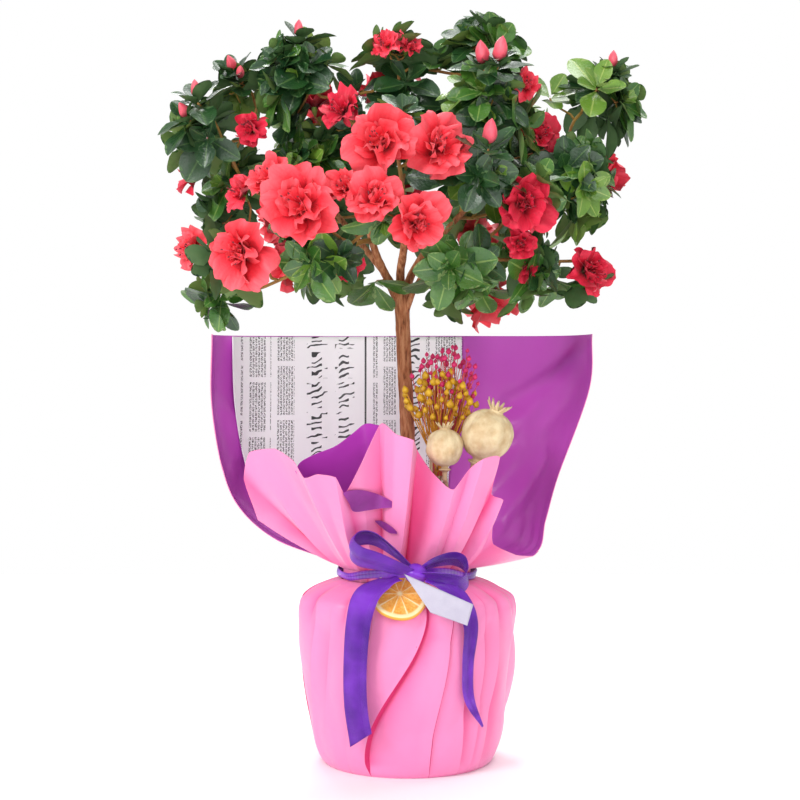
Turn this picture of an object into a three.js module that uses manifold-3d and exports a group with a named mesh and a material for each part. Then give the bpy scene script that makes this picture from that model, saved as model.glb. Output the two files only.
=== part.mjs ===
// A standard azalea in its wrapped pot: one bare trunk, the boughs that fork from it and a wide head of
// foliage and bloom, over a pot in gathered paper with a bow, a newsprint lining and a dried posy.
// Millimetres, +Z up. The origin is the middle of the flat underside, -Y is the front, +X the right.

import * as THREE from "three";
import { mergeVertices } from "three/addons/utils/BufferGeometryUtils.js";
import Module from "manifold-3d";

const wasm = await Module();
wasm.setup();

const touchGap = 0.35; // left between pieces that touch
const massGap = 1.2; // left between neighbouring masses of foliage

// Pot and soil
const potFootRadius = 52;
const potRimRadius = 65;
const potFloor = 2.6;
const potRimHeight = 123;
const potWall = 2;
const soilDepth = 107;
const soilTop = potFloor + potWall + touchGap + soilDepth;

// Wrapping paper round the pot: [radius, height] from the foot up to its mouth
const wrapProfile = [
  [63, 0],
  [66, 4],
  [71, 20],
  [76, 48],
  [80, 84],
  [80.5, 108],
  [78, 120],
  [70, 129],
  [58, 134],
];
const wrapThickness = 2;
const pleats = 14;
const pleatDepth = 1.3;
const pleatSlant = 0.03; // turn of the pleats round the pot, in radians of their wave for each millimetre

// Collar of the same paper, gathered at the neck: [reach, height] up each side and up the back
const neckRadius = 48;
const neckFoot = 131;
const neckTop = 147;
const neckShare = 0.2; // share of the collar's length that stands upright in the neck
const collarThickness = 1.4;
const liningInset = 5.5; // how far the newsprint lining stands inside the collar
const liningBearings = [71, 158];
const liningFoot = 0.45; // share of the way up the collar where the lining starts
const liningTop = 0.985;
const collarProfiles = {
  left: [[48, 131], [49, 147], [98, 166], [128, 192], [141, 222], [150, 272], [150, 322]],
  back: [[48, 131], [49, 147], [62, 172], [70, 204], [75, 240], [79, 282], [80, 324]],
  right: [[48, 131], [49, 147], [96, 155], [106, 181], [116, 215], [139, 280], [142, 322]],
};

// Top edge of the front ruffles: [bearing, reach, height], bearings counted from +X through the back
const ruffleEdge = [
  [190, 117, 186],
  [200, 126, 226],
  [213, 117, 237],
  [227, 112, 221],
  [240, 106, 217],
  [256, 84, 252],
  [269, 92, 246],
  [278, 66, 230],
  [290, 84, 210],
  [303, 106, 231],
  [313, 94, 190],
  [330, 87, 160],
  [348, 97, 157],
];

// Trunk: [x, y, height] up its lean, and its radius at the foot, above the flare and at the fork
const trunkLine = [
  [3.4, 0, soilTop + touchGap],
  [2.8, 0, 160],
  [0.6, 0, 240],
  [-2.4, 0, 310],
  [-4.2, 0, 357],
];
const trunkFootRadius = 10;
const trunkRadius = 5.3;
const trunkForkRadius = 5.8;
const flareHeight = 0.1; // share of the trunk's length that the root flare takes

// Boughs: where each leaves the fork and where it heads, and its radii there and at its tip
const boughSides = 6;
const boughSteps = 6;
const boughs = {
  bough_left: {
    line: [[-6, -1, 346], [-14, -6, 362], [-24, -14, 384], [-34, -22, 420]],
    radii: [3.6, 2.2],
  },
  bough_centre: {
    line: [[-4, -1, 350], [-5, -10, 368], [-2, -24, 392], [-4, -40, 430]],
    radii: [3.6, 2.2],
  },
  bough_right: {
    line: [[-2, 0, 352], [6, 0, 372], [22, -4, 392], [46, -8, 418]],
    radii: [3.2, 2],
  },
  bough_low_right: {
    line: [[-1, -2, 338], [8, -12, 360], [24, -26, 378], [52, -44, 388]],
    radii: [2.2, 1.4],
  },
  bough_back_left: {
    line: [[-6, 2, 349], [-16, 14, 368], [-34, 32, 392], [-56, 54, 420]],
    radii: [3.2, 2],
  },
  bough_back_right: {
    line: [[-3, 3, 350], [4, 16, 370], [18, 36, 394], [34, 60, 420]],
    radii: [3, 2],
  },
};

// Masses of foliage: [bearing, reach, height, half width, half height], round the trunk's own axis
const massesInSight = {
  leaf_mass_far_left: [190, 148, 470, 32, 26],
  leaf_mass_upper_left: [167, 126, 511, 24, 19],
  leaf_mass_top_left: [206, 82, 513, 40, 28],
  bloom_mass_top: [262, 22, 526, 34, 25],
  leaf_mass_top_right: [352, 56, 534, 39, 28],
  leaf_mass_right_shoulder: [310, 98, 480, 34, 28],
  leaf_mass_upper_right: [356, 150, 495, 38, 28],
  leaf_mass_far_right: [338, 136, 440, 28, 36],
  bloom_mass_centre: [268, 112, 450, 40, 32],
  bloom_mass_front: [263, 138, 402, 33, 26],
  bloom_mass_front_left: [240, 146, 404, 33, 30],
  bloom_mass_low_left: [219, 148, 374, 32, 32],
  bloom_mass_left_tip: [196, 158, 384, 23, 23],
  leaf_mass_front_right: [294, 130, 424, 28, 27],
  bloom_mass_right: [314, 128, 411, 27, 30],
  leaf_mass_low_front_right: [297, 94, 366, 31, 25],
  leaf_mass_low_right: [328, 106, 369, 29, 27],
  bloom_mass_right_tip: [347, 139, 369, 21, 26],
  leaf_mass_low_front_left: [235, 104, 371, 29, 25],
  leaf_mass_low_left_tip: [201, 142, 347, 22, 18],
};
const heartMasses = {
  heart_mass_left: [185, 62, 446, 44, 42],
  heart_mass_right: [345, 64, 440, 44, 40],
  heart_mass_back: [80, 28, 478, 42, 40],
};
// Rings of masses round the back of the head
const backRings = [
  { name: "back_mass_upper", bearings: [128, 86, 42], reach: 112, height: 496, half: [45, 30] },
  { name: "back_mass_middle", bearings: [162, 126, 92, 56, 20], reach: 134, height: 430, half: [42, 38] },
  { name: "back_mass_low", bearings: [124, 56], reach: 96, height: 376, half: [42, 26] },
];
const headDepth = 0.94; // the head is a little shallower, front to back, than it is wide
const lumpHeight = 0.15; // share of a mass's radius that its lumps take

// Ribbon, tag and slice
const ribbonWidth = 19;
const narrowRibbonWidth = 11.8; // of the bow's loops, which are gathered, and of the right tail
const loopSteps = 14;
const tailSteps = 10;
const ribbonThickness = 1.2;
const knotAt = [6, -78, 149];
const sliceRadius = 20.5;
const sliceThickness = 4;
const sliceAt = [-5.5, -78, 134];
const sliceLean = 40; // degrees back from upright
// Tag that tapers to the corner it hangs by: its outline, from that corner round
const tagOutline = [[-22.5, 18.4], [-4, -8.6], [21.6, -17.7], [26, -3]];
const tagThickness = 0.9;
const tagLean = 78; // degrees up from flat
const tagAt = [20, -92, 132];

// Dried posy
const yellowSprayAt = [27, -30, 270];
const pinkSprayAt = [31, -26, 296];
const smallPoppy = { at: [27, -57, 236], radius: 13.5, lean: [0, 0] };
const largePoppy = { at: [58, -50, 247], radius: 18.5, lean: [0.12, 0.38] };

const paints = {
  bark: { color: 0xb07a52, roughness: 0.9, metalness: 0 },
  leaf: { color: 0x2f5a2c, roughness: 0.5, metalness: 0 },
  bloom: { color: 0xe6495c, roughness: 0.6, metalness: 0 },
  pot: { color: 0x8a5a44, roughness: 0.7, metalness: 0 },
  soil: { color: 0x3a2a20, roughness: 1, metalness: 0 },
  pinkPaper: { color: 0xf29ac2, roughness: 0.45, metalness: 0 },
  purplePaper: { color: 0xa640a8, roughness: 0.4, metalness: 0 },
  newsprint: { color: 0xeeeef0, roughness: 0.4, metalness: 0 },
  ribbon: { color: 0x5a26a4, roughness: 0.35, metalness: 0 },
  orange: { color: 0xe8963a, roughness: 0.6, metalness: 0 },
  card: { color: 0xd9d3e4, roughness: 0.5, metalness: 0 },
  straw: { color: 0xe2cfa4, roughness: 0.8, metalness: 0 },
  yellowBerry: { color: 0xd9b32c, roughness: 0.6, metalness: 0 },
  pinkBerry: { color: 0xcf2f6e, roughness: 0.6, metalness: 0 },
};

const azalea = new THREE.Group();

function add(name, geometry, paint) {
  const mesh = new THREE.Mesh(geometry, new THREE.MeshStandardMaterial(paints[paint]));
  mesh.name = name;
  azalea.add(mesh);
}

const vector = (point) => new THREE.Vector3(...point);

// Geometry from points and triangles, with its faces turned outwards.
function outward(points, triangles) {
  let sixVolumes = 0;
  for (let i = 0; i < triangles.length; i += 3) {
    const [a, b, c] = [0, 1, 2].map((k) => points[triangles[i + k]]);
    sixVolumes += a.dot(new THREE.Vector3().crossVectors(b, c));
  }
  const index = sixVolumes < 0 ? [...triangles].reverse() : triangles;
  const geometry = new THREE.BufferGeometry().setFromPoints(points);
  geometry.setIndex(index);
  return geometry;
}

// Closed solid through rings of points, with a fan over the first ring and over the last one.
function loft(rings) {
  const sides = rings[0].length;
  const points = rings.flat();
  const triangles = [];
  for (let ring = 0; ring + 1 < rings.length; ring += 1) {
    for (let side = 0; side < sides; side += 1) {
      const a = ring * sides + side;
      const b = ring * sides + ((side + 1) % sides);
      triangles.push(a, b, b + sides, a, b + sides, a + sides);
    }
  }
  [0, rings.length - 1].forEach((ring) => {
    const middle = new THREE.Vector3();
    rings[ring].forEach((point) => middle.addScaledVector(point, 1 / sides));
    points.push(middle);
    for (let side = 0; side < sides; side += 1) {
      const a = ring * sides + side;
      const b = ring * sides + ((side + 1) % sides);
      triangles.push(points.length - 1, ...(ring === 0 ? [b, a] : [a, b]));
    }
  });
  return outward(points, triangles);
}

// Thin closed sheet over a surface that is given for u and v from 0 to 1.
function sheet(surface, columns, rows, thickness) {
  const step = 0.002;
  const points = [];
  [0.5, -0.5].forEach((side) => {
    for (let column = 0; column <= columns; column += 1) {
      for (let row = 0; row <= rows; row += 1) {
        const [u, v] = [column / columns, row / rows];
        const alongU = surface(Math.min(u + step, 1), v).sub(surface(Math.max(u - step, 0), v));
        const alongV = surface(u, Math.min(v + step, 1)).sub(surface(u, Math.max(v - step, 0)));
        const normal = alongU.cross(alongV).normalize();
        points.push(surface(u, v).addScaledVector(normal, side * thickness));
      }
    }
  });
  const face = (columns + 1) * (rows + 1);
  const at = (column, row, side) => side * face + column * (rows + 1) + row;
  const triangles = [];
  const quad = (a, b, c, d) => triangles.push(a, b, c, a, c, d);
  for (let c = 0; c < columns; c += 1) {
    for (let r = 0; r < rows; r += 1) {
      quad(at(c, r, 0), at(c + 1, r, 0), at(c + 1, r + 1, 0), at(c, r + 1, 0));
      quad(at(c, r, 1), at(c, r + 1, 1), at(c + 1, r + 1, 1), at(c + 1, r, 1));
    }
    quad(at(c, 0, 0), at(c, 0, 1), at(c + 1, 0, 1), at(c + 1, 0, 0));
    quad(at(c, rows, 0), at(c + 1, rows, 0), at(c + 1, rows, 1), at(c, rows, 1));
  }
  for (let r = 0; r < rows; r += 1) {
    quad(at(0, r, 0), at(0, r + 1, 0), at(0, r + 1, 1), at(0, r, 1));
    quad(at(columns, r, 0), at(columns, r, 1), at(columns, r + 1, 1), at(columns, r + 1, 0));
  }
  return outward(points, triangles);
}

// Round limb along a curve through the given points, with its radius at each share of the length.
function limb(line, radiusAt, sides, steps) {
  const curve = new THREE.CatmullRomCurve3(line.map(vector));
  const frames = curve.computeFrenetFrames(steps);
  const rings = [];
  for (let step = 0; step <= steps; step += 1) {
    const share = step / steps;
    const middle = curve.getPointAt(share);
    const ring = [];
    for (let side = 0; side < sides; side += 1) {
      const turn = (side / sides) * Math.PI * 2;
      const point = middle.clone();
      point.addScaledVector(frames.normals[step], Math.cos(turn) * radiusAt(share));
      point.addScaledVector(frames.binormals[step], Math.sin(turn) * radiusAt(share));
      ring.push(point);
    }
    rings.push(ring);
  }
  return loft(rings);
}

// Solid of revolution about +Z through a [radius, height] profile, with its wall pleated if asked.
function turned(profile, sides, pleatAt = () => 0) {
  const rings = profile.map(([radius, height]) => {
    const ring = [];
    for (let side = 0; side < sides; side += 1) {
      const turn = (side / sides) * Math.PI * 2;
      const reach = radius + pleatAt(turn, height);
      ring.push(new THREE.Vector3(reach * Math.cos(turn), reach * Math.sin(turn), height));
    }
    return ring;
  });
  return loft(rings);
}

// Straight or curved strip: a flat section is carried from point to point, with its width along acrossAt.
function strip(line, acrossAt, widthAt, thickness, steps) {
  const curve = new THREE.CatmullRomCurve3(line.map(vector));
  const rings = [];
  for (let step = 0; step <= steps; step += 1) {
    const share = step / steps;
    const middle = curve.getPointAt(share);
    const along = curve.getTangentAt(share);
    const out = new THREE.Vector3().crossVectors(acrossAt(share), along).normalize();
    const across = new THREE.Vector3().crossVectors(along, out);
    const corners = [[-1, -1], [1, -1], [1, 1], [-1, 1]];
    rings.push(
      corners.map(([w, t]) => {
        const corner = middle.clone().addScaledVector(across, (w * widthAt(share)) / 2);
        return corner.addScaledVector(out, (t * thickness) / 2);
      }),
    );
  }
  return loft(rings);
}

function solidOf(geometry) {
  const bare = geometry.clone();
  bare.deleteAttribute("normal");
  bare.deleteAttribute("uv");
  const merged = mergeVertices(bare, 1e-4);
  const vertProperties = new Float32Array(merged.attributes.position.array);
  const triVerts = new Uint32Array(merged.index.array);
  return new wasm.Manifold(new wasm.Mesh({ numProp: 3, vertProperties, triVerts }));
}

// What is left of a geometry outside the tools: the largest piece of it.
function cutBy(geometry, tools) {
  const left = tools.reduce((rest, tool) => rest.subtract(solidOf(tool)), solidOf(geometry));
  const pieces = left.decompose().sort((a, b) => b.volume() - a.volume());
  const mesh = pieces[0].getMesh();
  const cut = new THREE.BufferGeometry();
  cut.setAttribute("position", new THREE.BufferAttribute(mesh.vertProperties, 3));
  cut.setIndex(new THREE.BufferAttribute(mesh.triVerts, 1));
  return cut;
}

// Place round the trunk's axis at the fork, for a bearing in degrees.
function roundTrunk(bearing, reach, height) {
  const turn = THREE.MathUtils.degToRad(bearing);
  const [x, y] = trunkLine[trunkLine.length - 1];
  return new THREE.Vector3(x + reach * Math.cos(turn), y + reach * headDepth * Math.sin(turn), height);
}

function massList() {
  const list = [];
  Object.entries({ ...massesInSight, ...heartMasses }).forEach(([name, sizes]) => {
    const [bearing, reach, height, wide, tall] = sizes;
    const middle = roundTrunk(bearing, reach, height);
    list.push({ name, middle, half: new THREE.Vector3(wide, wide, tall) });
  });
  backRings.forEach(({ name, bearings, reach, height, half: [wide, tall] }) => {
    bearings.forEach((bearing, place) => {
      const lift = 8 * Math.sin(3 * place + reach);
      const middle = roundTrunk(bearing, reach + lift / 2, height + lift);
      list.push({ name: `${name}_${place + 1}`, middle, half: new THREE.Vector3(wide, wide, tall) });
    });
  });
  return list;
}

// Distance from a mass's middle to its own lumpy surface in one direction.
function ownReach(mass, towards, number) {
  const smooth = 1 / towards.clone().divide(mass.half).length();
  const phase = number * 2.4;
  const broad = Math.sin(3.1 * towards.x + 2.3 * towards.z + phase) * Math.cos(3.7 * towards.y - phase);
  const fine = Math.sin(6.3 * towards.z + 5.1 * towards.y + 1.7 * phase);
  return smooth * (1 + lumpHeight * broad + 0.4 * lumpHeight * fine);
}

// One closed mass, uneven on its own side and held back from the planes midway to its neighbours.
function massGeometry(list, number, spare) {
  const mass = list[number];
  const ball = new THREE.DodecahedronGeometry(1, 1);
  ball.deleteAttribute("normal");
  ball.deleteAttribute("uv");
  const geometry = mergeVertices(ball, 1e-4);
  const place = geometry.attributes.position;
  for (let i = 0; i < place.count; i += 1) {
    const towards = new THREE.Vector3().fromBufferAttribute(place, i).normalize();
    let reach = ownReach(mass, towards, number);
    list.forEach((other) => {
      if (other === mass) return;
      const across = other.middle.clone().sub(mass.middle);
      const apart = across.length();
      across.normalize();
      const mine = 1 / across.clone().divide(mass.half).length();
      const theirs = 1 / across.clone().divide(other.half).length();
      const limit = (apart * mine) / (mine + theirs) - massGap / 2;
      const facing = towards.dot(across);
      if (facing > 0) reach = Math.min(reach, limit / facing);
    });
    const point = mass.middle.clone().addScaledVector(towards, reach + spare);
    place.setXYZ(i, point.x, point.y, point.z);
  }
  return geometry;
}

// Root flare, then a slow taper, then a slight swelling under the fork.
function trunkRadiusAt(share) {
  const flare = Math.max(0, 1 - share / flareHeight);
  const swelling = THREE.MathUtils.smoothstep(share, 0.82, 1);
  const atFoot = (trunkFootRadius - trunkRadius) * flare ** 2;
  const atFork = (trunkForkRadius - trunkRadius) * swelling;
  return trunkRadius + atFoot + atFork;
}

function buildPlant() {
  const trunk = (spare) => limb(trunkLine, (share) => trunkRadiusAt(share) + spare, 10, 16);
  add("trunk", trunk(0), "bark");
  const list = massList();
  const masses = list.map((mass, number) => massGeometry(list, number, 0));
  list.forEach(({ name }, number) => {
    add(name, masses[number], name.startsWith("bloom") ? "bloom" : "leaf");
  });
  const inTheWay = [trunk(touchGap), ...list.map((mass, number) => massGeometry(list, number, touchGap))];
  Object.entries(boughs).forEach(([name, { line, radii }]) => {
    const radiusAt = (share) => THREE.MathUtils.lerp(...radii, share);
    const bough = (spare) => limb(line, (share) => radiusAt(share) + spare, boughSides, boughSteps);
    add(name, cutBy(bough(0), inTheWay), "bark");
    inTheWay.push(bough(touchGap));
  });
}

function wrapPleat(turn, height) {
  const fromFoot = THREE.MathUtils.smoothstep(height, 3, 40);
  const toMouth = 1 - THREE.MathUtils.smoothstep(height, 128, 134);
  return pleatDepth * fromFoot * toMouth * Math.cos(pleats * turn + pleatSlant * height);
}

// Reach of the wrapping paper at a height, without its pleats.
function wrapReach(height) {
  const above = Math.max(1, wrapProfile.findIndex(([, h]) => h >= height));
  const [[r0, h0], [r1, h1]] = wrapProfile.slice(above - 1, above + 1);
  return THREE.MathUtils.mapLinear(height, h0, h1, r0, r1);
}

function buildPot() {
  const rim = potRimRadius - potWall;
  const floor = potFloor + potWall;
  const potProfile = [
    [potFootRadius, potFloor],
    [potRimRadius, potRimHeight],
    [rim, potRimHeight],
    [potFootRadius - potWall, floor],
  ];
  add("pot", turned(potProfile, 24), "pot");
  const slope = (rim - potFootRadius + potWall) / (potRimHeight - floor);
  const soilFoot = potFootRadius - potWall - 2 * touchGap;
  const soilProfile = [
    [soilFoot, floor + touchGap],
    [soilFoot + slope * soilDepth, soilTop],
  ];
  add("soil", turned(soilProfile, 24), "soil");
  const inside = wrapProfile.filter((point, place) => place % 2 === 0).reverse();
  const lining = inside.map(([radius, height]) => {
    return [radius - wrapThickness, Math.max(height, wrapThickness)];
  });
  add("pot_wrap", turned([...wrapProfile, ...lining], 2 * pleats, wrapPleat), "pinkPaper");
}

function profileCurve(profile) {
  return new THREE.CatmullRomCurve3(profile.map(([reach, height]) => vector([reach, height, 0])));
}

const sideCurves = {
  left: profileCurve(collarProfiles.left),
  back: profileCurve(collarProfiles.back),
  right: profileCurve(collarProfiles.right),
};

// Back of the collar: u runs from the right side round behind to the left side, v from the neck up.
function collarBack(u, v, inset = 0, from = -3, to = 183) {
  const turn = THREE.MathUtils.degToRad(THREE.MathUtils.lerp(from, to, u));
  const side = sideCurves[Math.cos(turn) > 0 ? "right" : "left"].getPoint(v);
  const back = sideCurves.back.getPoint(v);
  const behind = Math.sin(turn) ** 2;
  return new THREE.Vector3(
    (side.x - inset) * Math.cos(turn),
    (back.x - inset) * Math.sin(turn),
    THREE.MathUtils.lerp(side.y, back.y, behind),
  );
}

// Front of the collar: ruffles that lean out from the neck to their own wavy top edge.
const edgeCurve = new THREE.CatmullRomCurve3(ruffleEdge.map(vector));
function collarFront(u, v) {
  const edge = edgeCurve.getPoint(u);
  const turn = THREE.MathUtils.degToRad(edge.x);
  const flare = Math.max(0, (v - neckShare) / (1 - neckShare));
  const reach = THREE.MathUtils.lerp(neckRadius, edge.y, flare ** 0.85);
  const height = v < neckShare
    ? THREE.MathUtils.lerp(neckFoot, neckTop, v / neckShare)
    : THREE.MathUtils.lerp(neckTop, edge.z, flare);
  return new THREE.Vector3(reach * Math.cos(turn), reach * Math.sin(turn), height);
}

function buildCollar() {
  add("collar_back", sheet((u, v) => collarBack(u, v), 16, 6, collarThickness), "purplePaper");
  add("collar_front", sheet(collarFront, 28, 5, collarThickness), "pinkPaper");
  const lining = (u, v) => {
    const share = THREE.MathUtils.lerp(liningFoot, liningTop, v);
    return collarBack(u, share, liningInset, ...liningBearings);
  };
  add("newsprint_sheet", sheet(lining, 9, 5, 0.8), "newsprint");
}

// Point on the wrapping paper, standing off it by the given distance, at a place across the front.
function frontOfWrap(x, height, stand) {
  const reach = wrapReach(height) + pleatDepth + stand;
  return [x, -Math.sqrt(reach ** 2 - x ** 2), height];
}

function buildRibbon() {
  const bandSides = 32;
  const bandInside = neckRadius + 4;
  const bandOutside = bandInside + ribbonThickness;
  const bandFoot = neckFoot + 5;
  const bandTop = bandFoot + 9;
  const section = [
    [bandInside, bandFoot],
    [bandOutside, bandFoot],
    [bandOutside, bandTop],
    [bandInside, bandTop],
  ];
  const band = [];
  for (let side = 0; side < bandSides; side += 1) {
    const turn = (side / bandSides) * Math.PI * 2;
    const [forward, sideways] = [Math.cos(turn), Math.sin(turn)];
    band.push(section.map(([reach, height]) => vector([reach * forward, reach * sideways, height])));
  }
  add("ribbon_band", ringLoft(band), "ribbon");

  const knot = new THREE.IcosahedronGeometry(1, 1);
  knot.scale(8, 6.5, 6.5);
  knot.translate(...knotAt);
  add("bow_knot", knot, "ribbon");

  const [kx, ky, kz] = knotAt;
  const inLine = new THREE.Vector3(0, 1, 0);
  const loops = {
    bow_loop_left: [
      [kx - 9, ky, kz + 3],
      [kx - 24, ky, kz + 20],
      [kx - 42, ky - 2, kz + 16],
      [kx - 40, ky - 2, kz + 2],
      [kx - 24, ky, kz - 1.5],
      [kx - 9, ky, kz],
    ],
    bow_loop_right: [
      [kx + 9, ky, kz + 3],
      [kx + 22, ky + 1, kz + 12],
      [kx + 35, ky + 2, kz + 6],
      [kx + 33, ky + 2, kz - 6],
      [kx + 21, ky + 1, kz - 5],
      [kx + 9, ky, kz],
    ],
  };
  Object.entries(loops).forEach(([name, line]) => {
    add(name, strip(line, () => inLine, () => narrowRibbonWidth, ribbonThickness, loopSteps), "ribbon");
  });

  const fromKnot = (x, down) => [kx + x, ky - 2, kz - down];
  const left = [
    fromKnot(-11, 9),
    [-33, -89, 131],
    frontOfWrap(-36, 112, 3),
    frontOfWrap(-37, 72, 2.4),
    frontOfWrap(-34, 36, 3),
  ];
  const right = [
    fromKnot(10, 9),
    [33, -83, 131],
    frontOfWrap(46, 108, 3),
    frontOfWrap(42, 72, 2.4),
    frontOfWrap(53, 40, 3),
  ];
  const sideways = (line) => {
    const curve = new THREE.CatmullRomCurve3(line.map(vector));
    return (share) => {
      const place = curve.getPointAt(share);
      return new THREE.Vector3(-place.y, place.x, 0).normalize();
    };
  };
  const addTail = (name, line, width) => {
    add(name, strip(line, sideways(line), () => width, ribbonThickness, tailSteps), "ribbon");
  };
  addTail("ribbon_tail_left", left, ribbonWidth);
  addTail("ribbon_tail_right", right, narrowRibbonWidth);
}

// Closed ring through sections that follow each other round, back to the first one.
function ringLoft(sections) {
  const corners = sections[0].length;
  const triangles = [];
  sections.forEach((section, number) => {
    const next = (number + 1) % sections.length;
    for (let corner = 0; corner < corners; corner += 1) {
      const after = (corner + 1) % corners;
      const [a, b] = [number * corners + corner, number * corners + after];
      const [c, d] = [next * corners + after, next * corners + corner];
      triangles.push(a, b, c, a, c, d);
    }
  });
  return outward(sections.flat(), triangles);
}

function buildTrimmings() {
  const slice = new THREE.CylinderGeometry(sliceRadius, sliceRadius, sliceThickness, 28);
  slice.rotateX(THREE.MathUtils.degToRad(-sliceLean));
  slice.translate(...sliceAt);
  add("orange_slice", slice, "orange");
  const outline = new THREE.Shape(tagOutline.map(([x, y]) => new THREE.Vector2(x, y)));
  const tag = new THREE.ExtrudeGeometry(outline, { depth: tagThickness, bevelEnabled: false });
  tag.rotateX(THREE.MathUtils.degToRad(tagLean));
  tag.translate(...tagAt);
  add("gift_tag", tag, "card");
}

// Seed head of a poppy, [reach, height] in shares of its radius, from its stem to its crown.
const poppyProfile = [
  [0.13, -2.6],
  [0.15, -1.25],
  [0.42, -1],
  [0.86, -0.62],
  [1, -0.05],
  [0.86, 0.55],
  [0.4, 0.92],
  [0.3, 1.02],
  [0.62, 1.14],
  [0.5, 1.22],
];

function addPoppy(name, { at, radius, lean: [forward, sideways] }) {
  const head = turned(poppyProfile.map(([reach, height]) => [reach * radius, height * radius]), 12);
  head.rotateX(forward);
  head.rotateY(sideways);
  head.translate(...at);
  add(name, head, "straw");
}

function buildPosy() {
  addPoppy("poppy_small", smallPoppy);
  addPoppy("poppy_large", largePoppy);
  const sprays = [
    { middle: vector(yellowSprayAt), half: new THREE.Vector3(25, 16, 27) },
    { middle: vector(pinkSprayAt), half: new THREE.Vector3(25, 15, 22) },
  ];
  add("berry_spray_yellow", massGeometry(sprays, 0, 0), "yellowBerry");
  add("berry_spray_pink", massGeometry(sprays, 1, 0), "pinkBerry");
  const [x, y, z] = yellowSprayAt;
  const stemLine = [[18, -18, 150], [20, -22, 195], [x - 4, y + 2, z - 34]];
  add("posy_stems", limb(stemLine, (share) => 3 + 4 * share, 7, 4), "straw");
}

buildPlant();
buildPot();
buildCollar();
buildRibbon();
buildTrimmings();
buildPosy();

export default azalea;
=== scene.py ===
import math
import random
import bpy
import numpy as np
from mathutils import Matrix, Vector, noise


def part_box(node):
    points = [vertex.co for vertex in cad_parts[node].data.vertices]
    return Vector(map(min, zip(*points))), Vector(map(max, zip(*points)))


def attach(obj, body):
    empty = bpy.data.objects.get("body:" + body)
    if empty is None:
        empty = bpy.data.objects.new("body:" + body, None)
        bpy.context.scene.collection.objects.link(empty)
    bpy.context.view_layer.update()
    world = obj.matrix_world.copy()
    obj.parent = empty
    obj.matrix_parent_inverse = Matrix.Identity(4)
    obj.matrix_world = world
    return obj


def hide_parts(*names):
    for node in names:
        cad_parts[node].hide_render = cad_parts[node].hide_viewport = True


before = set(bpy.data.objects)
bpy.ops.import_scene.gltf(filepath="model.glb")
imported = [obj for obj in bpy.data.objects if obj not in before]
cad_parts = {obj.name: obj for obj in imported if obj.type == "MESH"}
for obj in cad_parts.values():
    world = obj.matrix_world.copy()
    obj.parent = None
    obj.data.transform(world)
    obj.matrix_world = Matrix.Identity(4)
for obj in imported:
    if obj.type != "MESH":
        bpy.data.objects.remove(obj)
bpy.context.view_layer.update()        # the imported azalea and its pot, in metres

mm = 0.001
black, white = (0, 0, 0, 1), (1, 1, 1, 1)
up = np.array([0.0, 0.0, 1.0])
goldenTurn = math.radians(137.508)


# Small sums

def unit(v):
    v = np.asarray(v, float)
    return v / (np.linalg.norm(v) + 1e-12)


def mix(a, b, share):
    return np.asarray(a, float) * (1 - share) + np.asarray(b, float) * share


def evenly(count, low=0.0, high=1.0):
    return np.linspace(low, high, count)


def meshed(columns, rows):
    # two numbers for each point of a grid
    return np.dstack(np.meshgrid(columns, rows, indexing="ij"))


def upright(pairs):
    # an outline of distances and heights as places
    return np.array([(x, 0, z) for x, z in pairs], float)


def around(sides):
    return np.arange(sides) * 2 * math.pi / sides


def compass(turn):
    return np.array([math.cos(turn), math.sin(turn), 0])


def polar(reach, turn, height):
    return np.stack(np.broadcast_arrays(reach * np.cos(turn), reach * np.sin(turn), height), axis=-1)


def paired(first, second):
    return np.stack(np.broadcast_arrays(first, second), axis=-1)


def ramp(x, low, high):
    share = np.clip((x - low) / (high - low), 0, 1)
    return share * share * (3 - 2 * share)


def square(frontAxis, upHint):
    # three right-angled axes: across, along and out, as the rows of a matrix
    along = unit(frontAxis)
    hint = np.asarray(upHint, float)
    if abs(np.dot(along, unit(hint))) > 0.98:
        hint = np.array([along[1], along[2], along[0]])
    across = unit(np.cross(along, hint))
    return np.array([across, along, np.cross(across, along)])


def tipped(angle):
    # turns a place about the X axis
    c, s = math.cos(angle), math.sin(angle)
    return np.array([[1, 0, 0], [0, c, -s], [0, s, c]])


def spoke(axes, turn):
    return axes[0] * math.cos(turn) + axes[2] * math.sin(turn)


def facing(turn, tilt):
    # direction for a turn round +Z, where 0 is the front and 90 the right, and a tilt above level
    a, b = math.radians(turn), math.radians(tilt)
    return np.array([math.sin(a) * math.cos(b), -math.cos(a) * math.cos(b), math.sin(b)])


def throughPoints(points, shares):
    # smooth curve through the points, read at shares from 0 to 1
    points = np.asarray(points, float)
    last = len(points) - 1
    padded = np.vstack([2 * points[0] - points[1], points, 2 * points[-1] - points[-2]])
    out = []
    for share in np.atleast_1d(shares):
        t = min(max(share, 0), 1) * last
        i = min(int(t), last - 1)
        t -= i
        a, b, c, d = padded[i:i + 4]
        out.append(0.5 * (2 * b + (c - a) * t + (2 * a - 5 * b + 4 * c - d) * t ** 2
                          + (3 * b - a - 3 * c + d) * t ** 3))
    return np.array(out)


def curve(points, count):
    return throughPoints(points, evenly(count))


def lumps(points, scale, depth, seed=0.0):
    # soft uneven height at each point
    shift = Vector((seed, 1.7 * seed, -seed))
    flat = np.asarray(points, float).reshape(-1, 3)
    found = [noise.noise(Vector(p) * scale + shift) for p in flat.tolist()]
    return depth * np.array(found).reshape(np.asarray(points).shape[:-1])


# Gathering points and faces into pieces

def gridFaces(columns, rows, closed=False):
    c, r = np.meshgrid(np.arange(columns if closed else columns - 1), np.arange(rows - 1), indexing="ij")
    c, r = c.ravel(), r.ravel()
    n = (c + 1) % columns
    return np.stack([c * rows + r, n * rows + r, n * rows + r + 1, c * rows + r + 1], axis=1)


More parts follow.
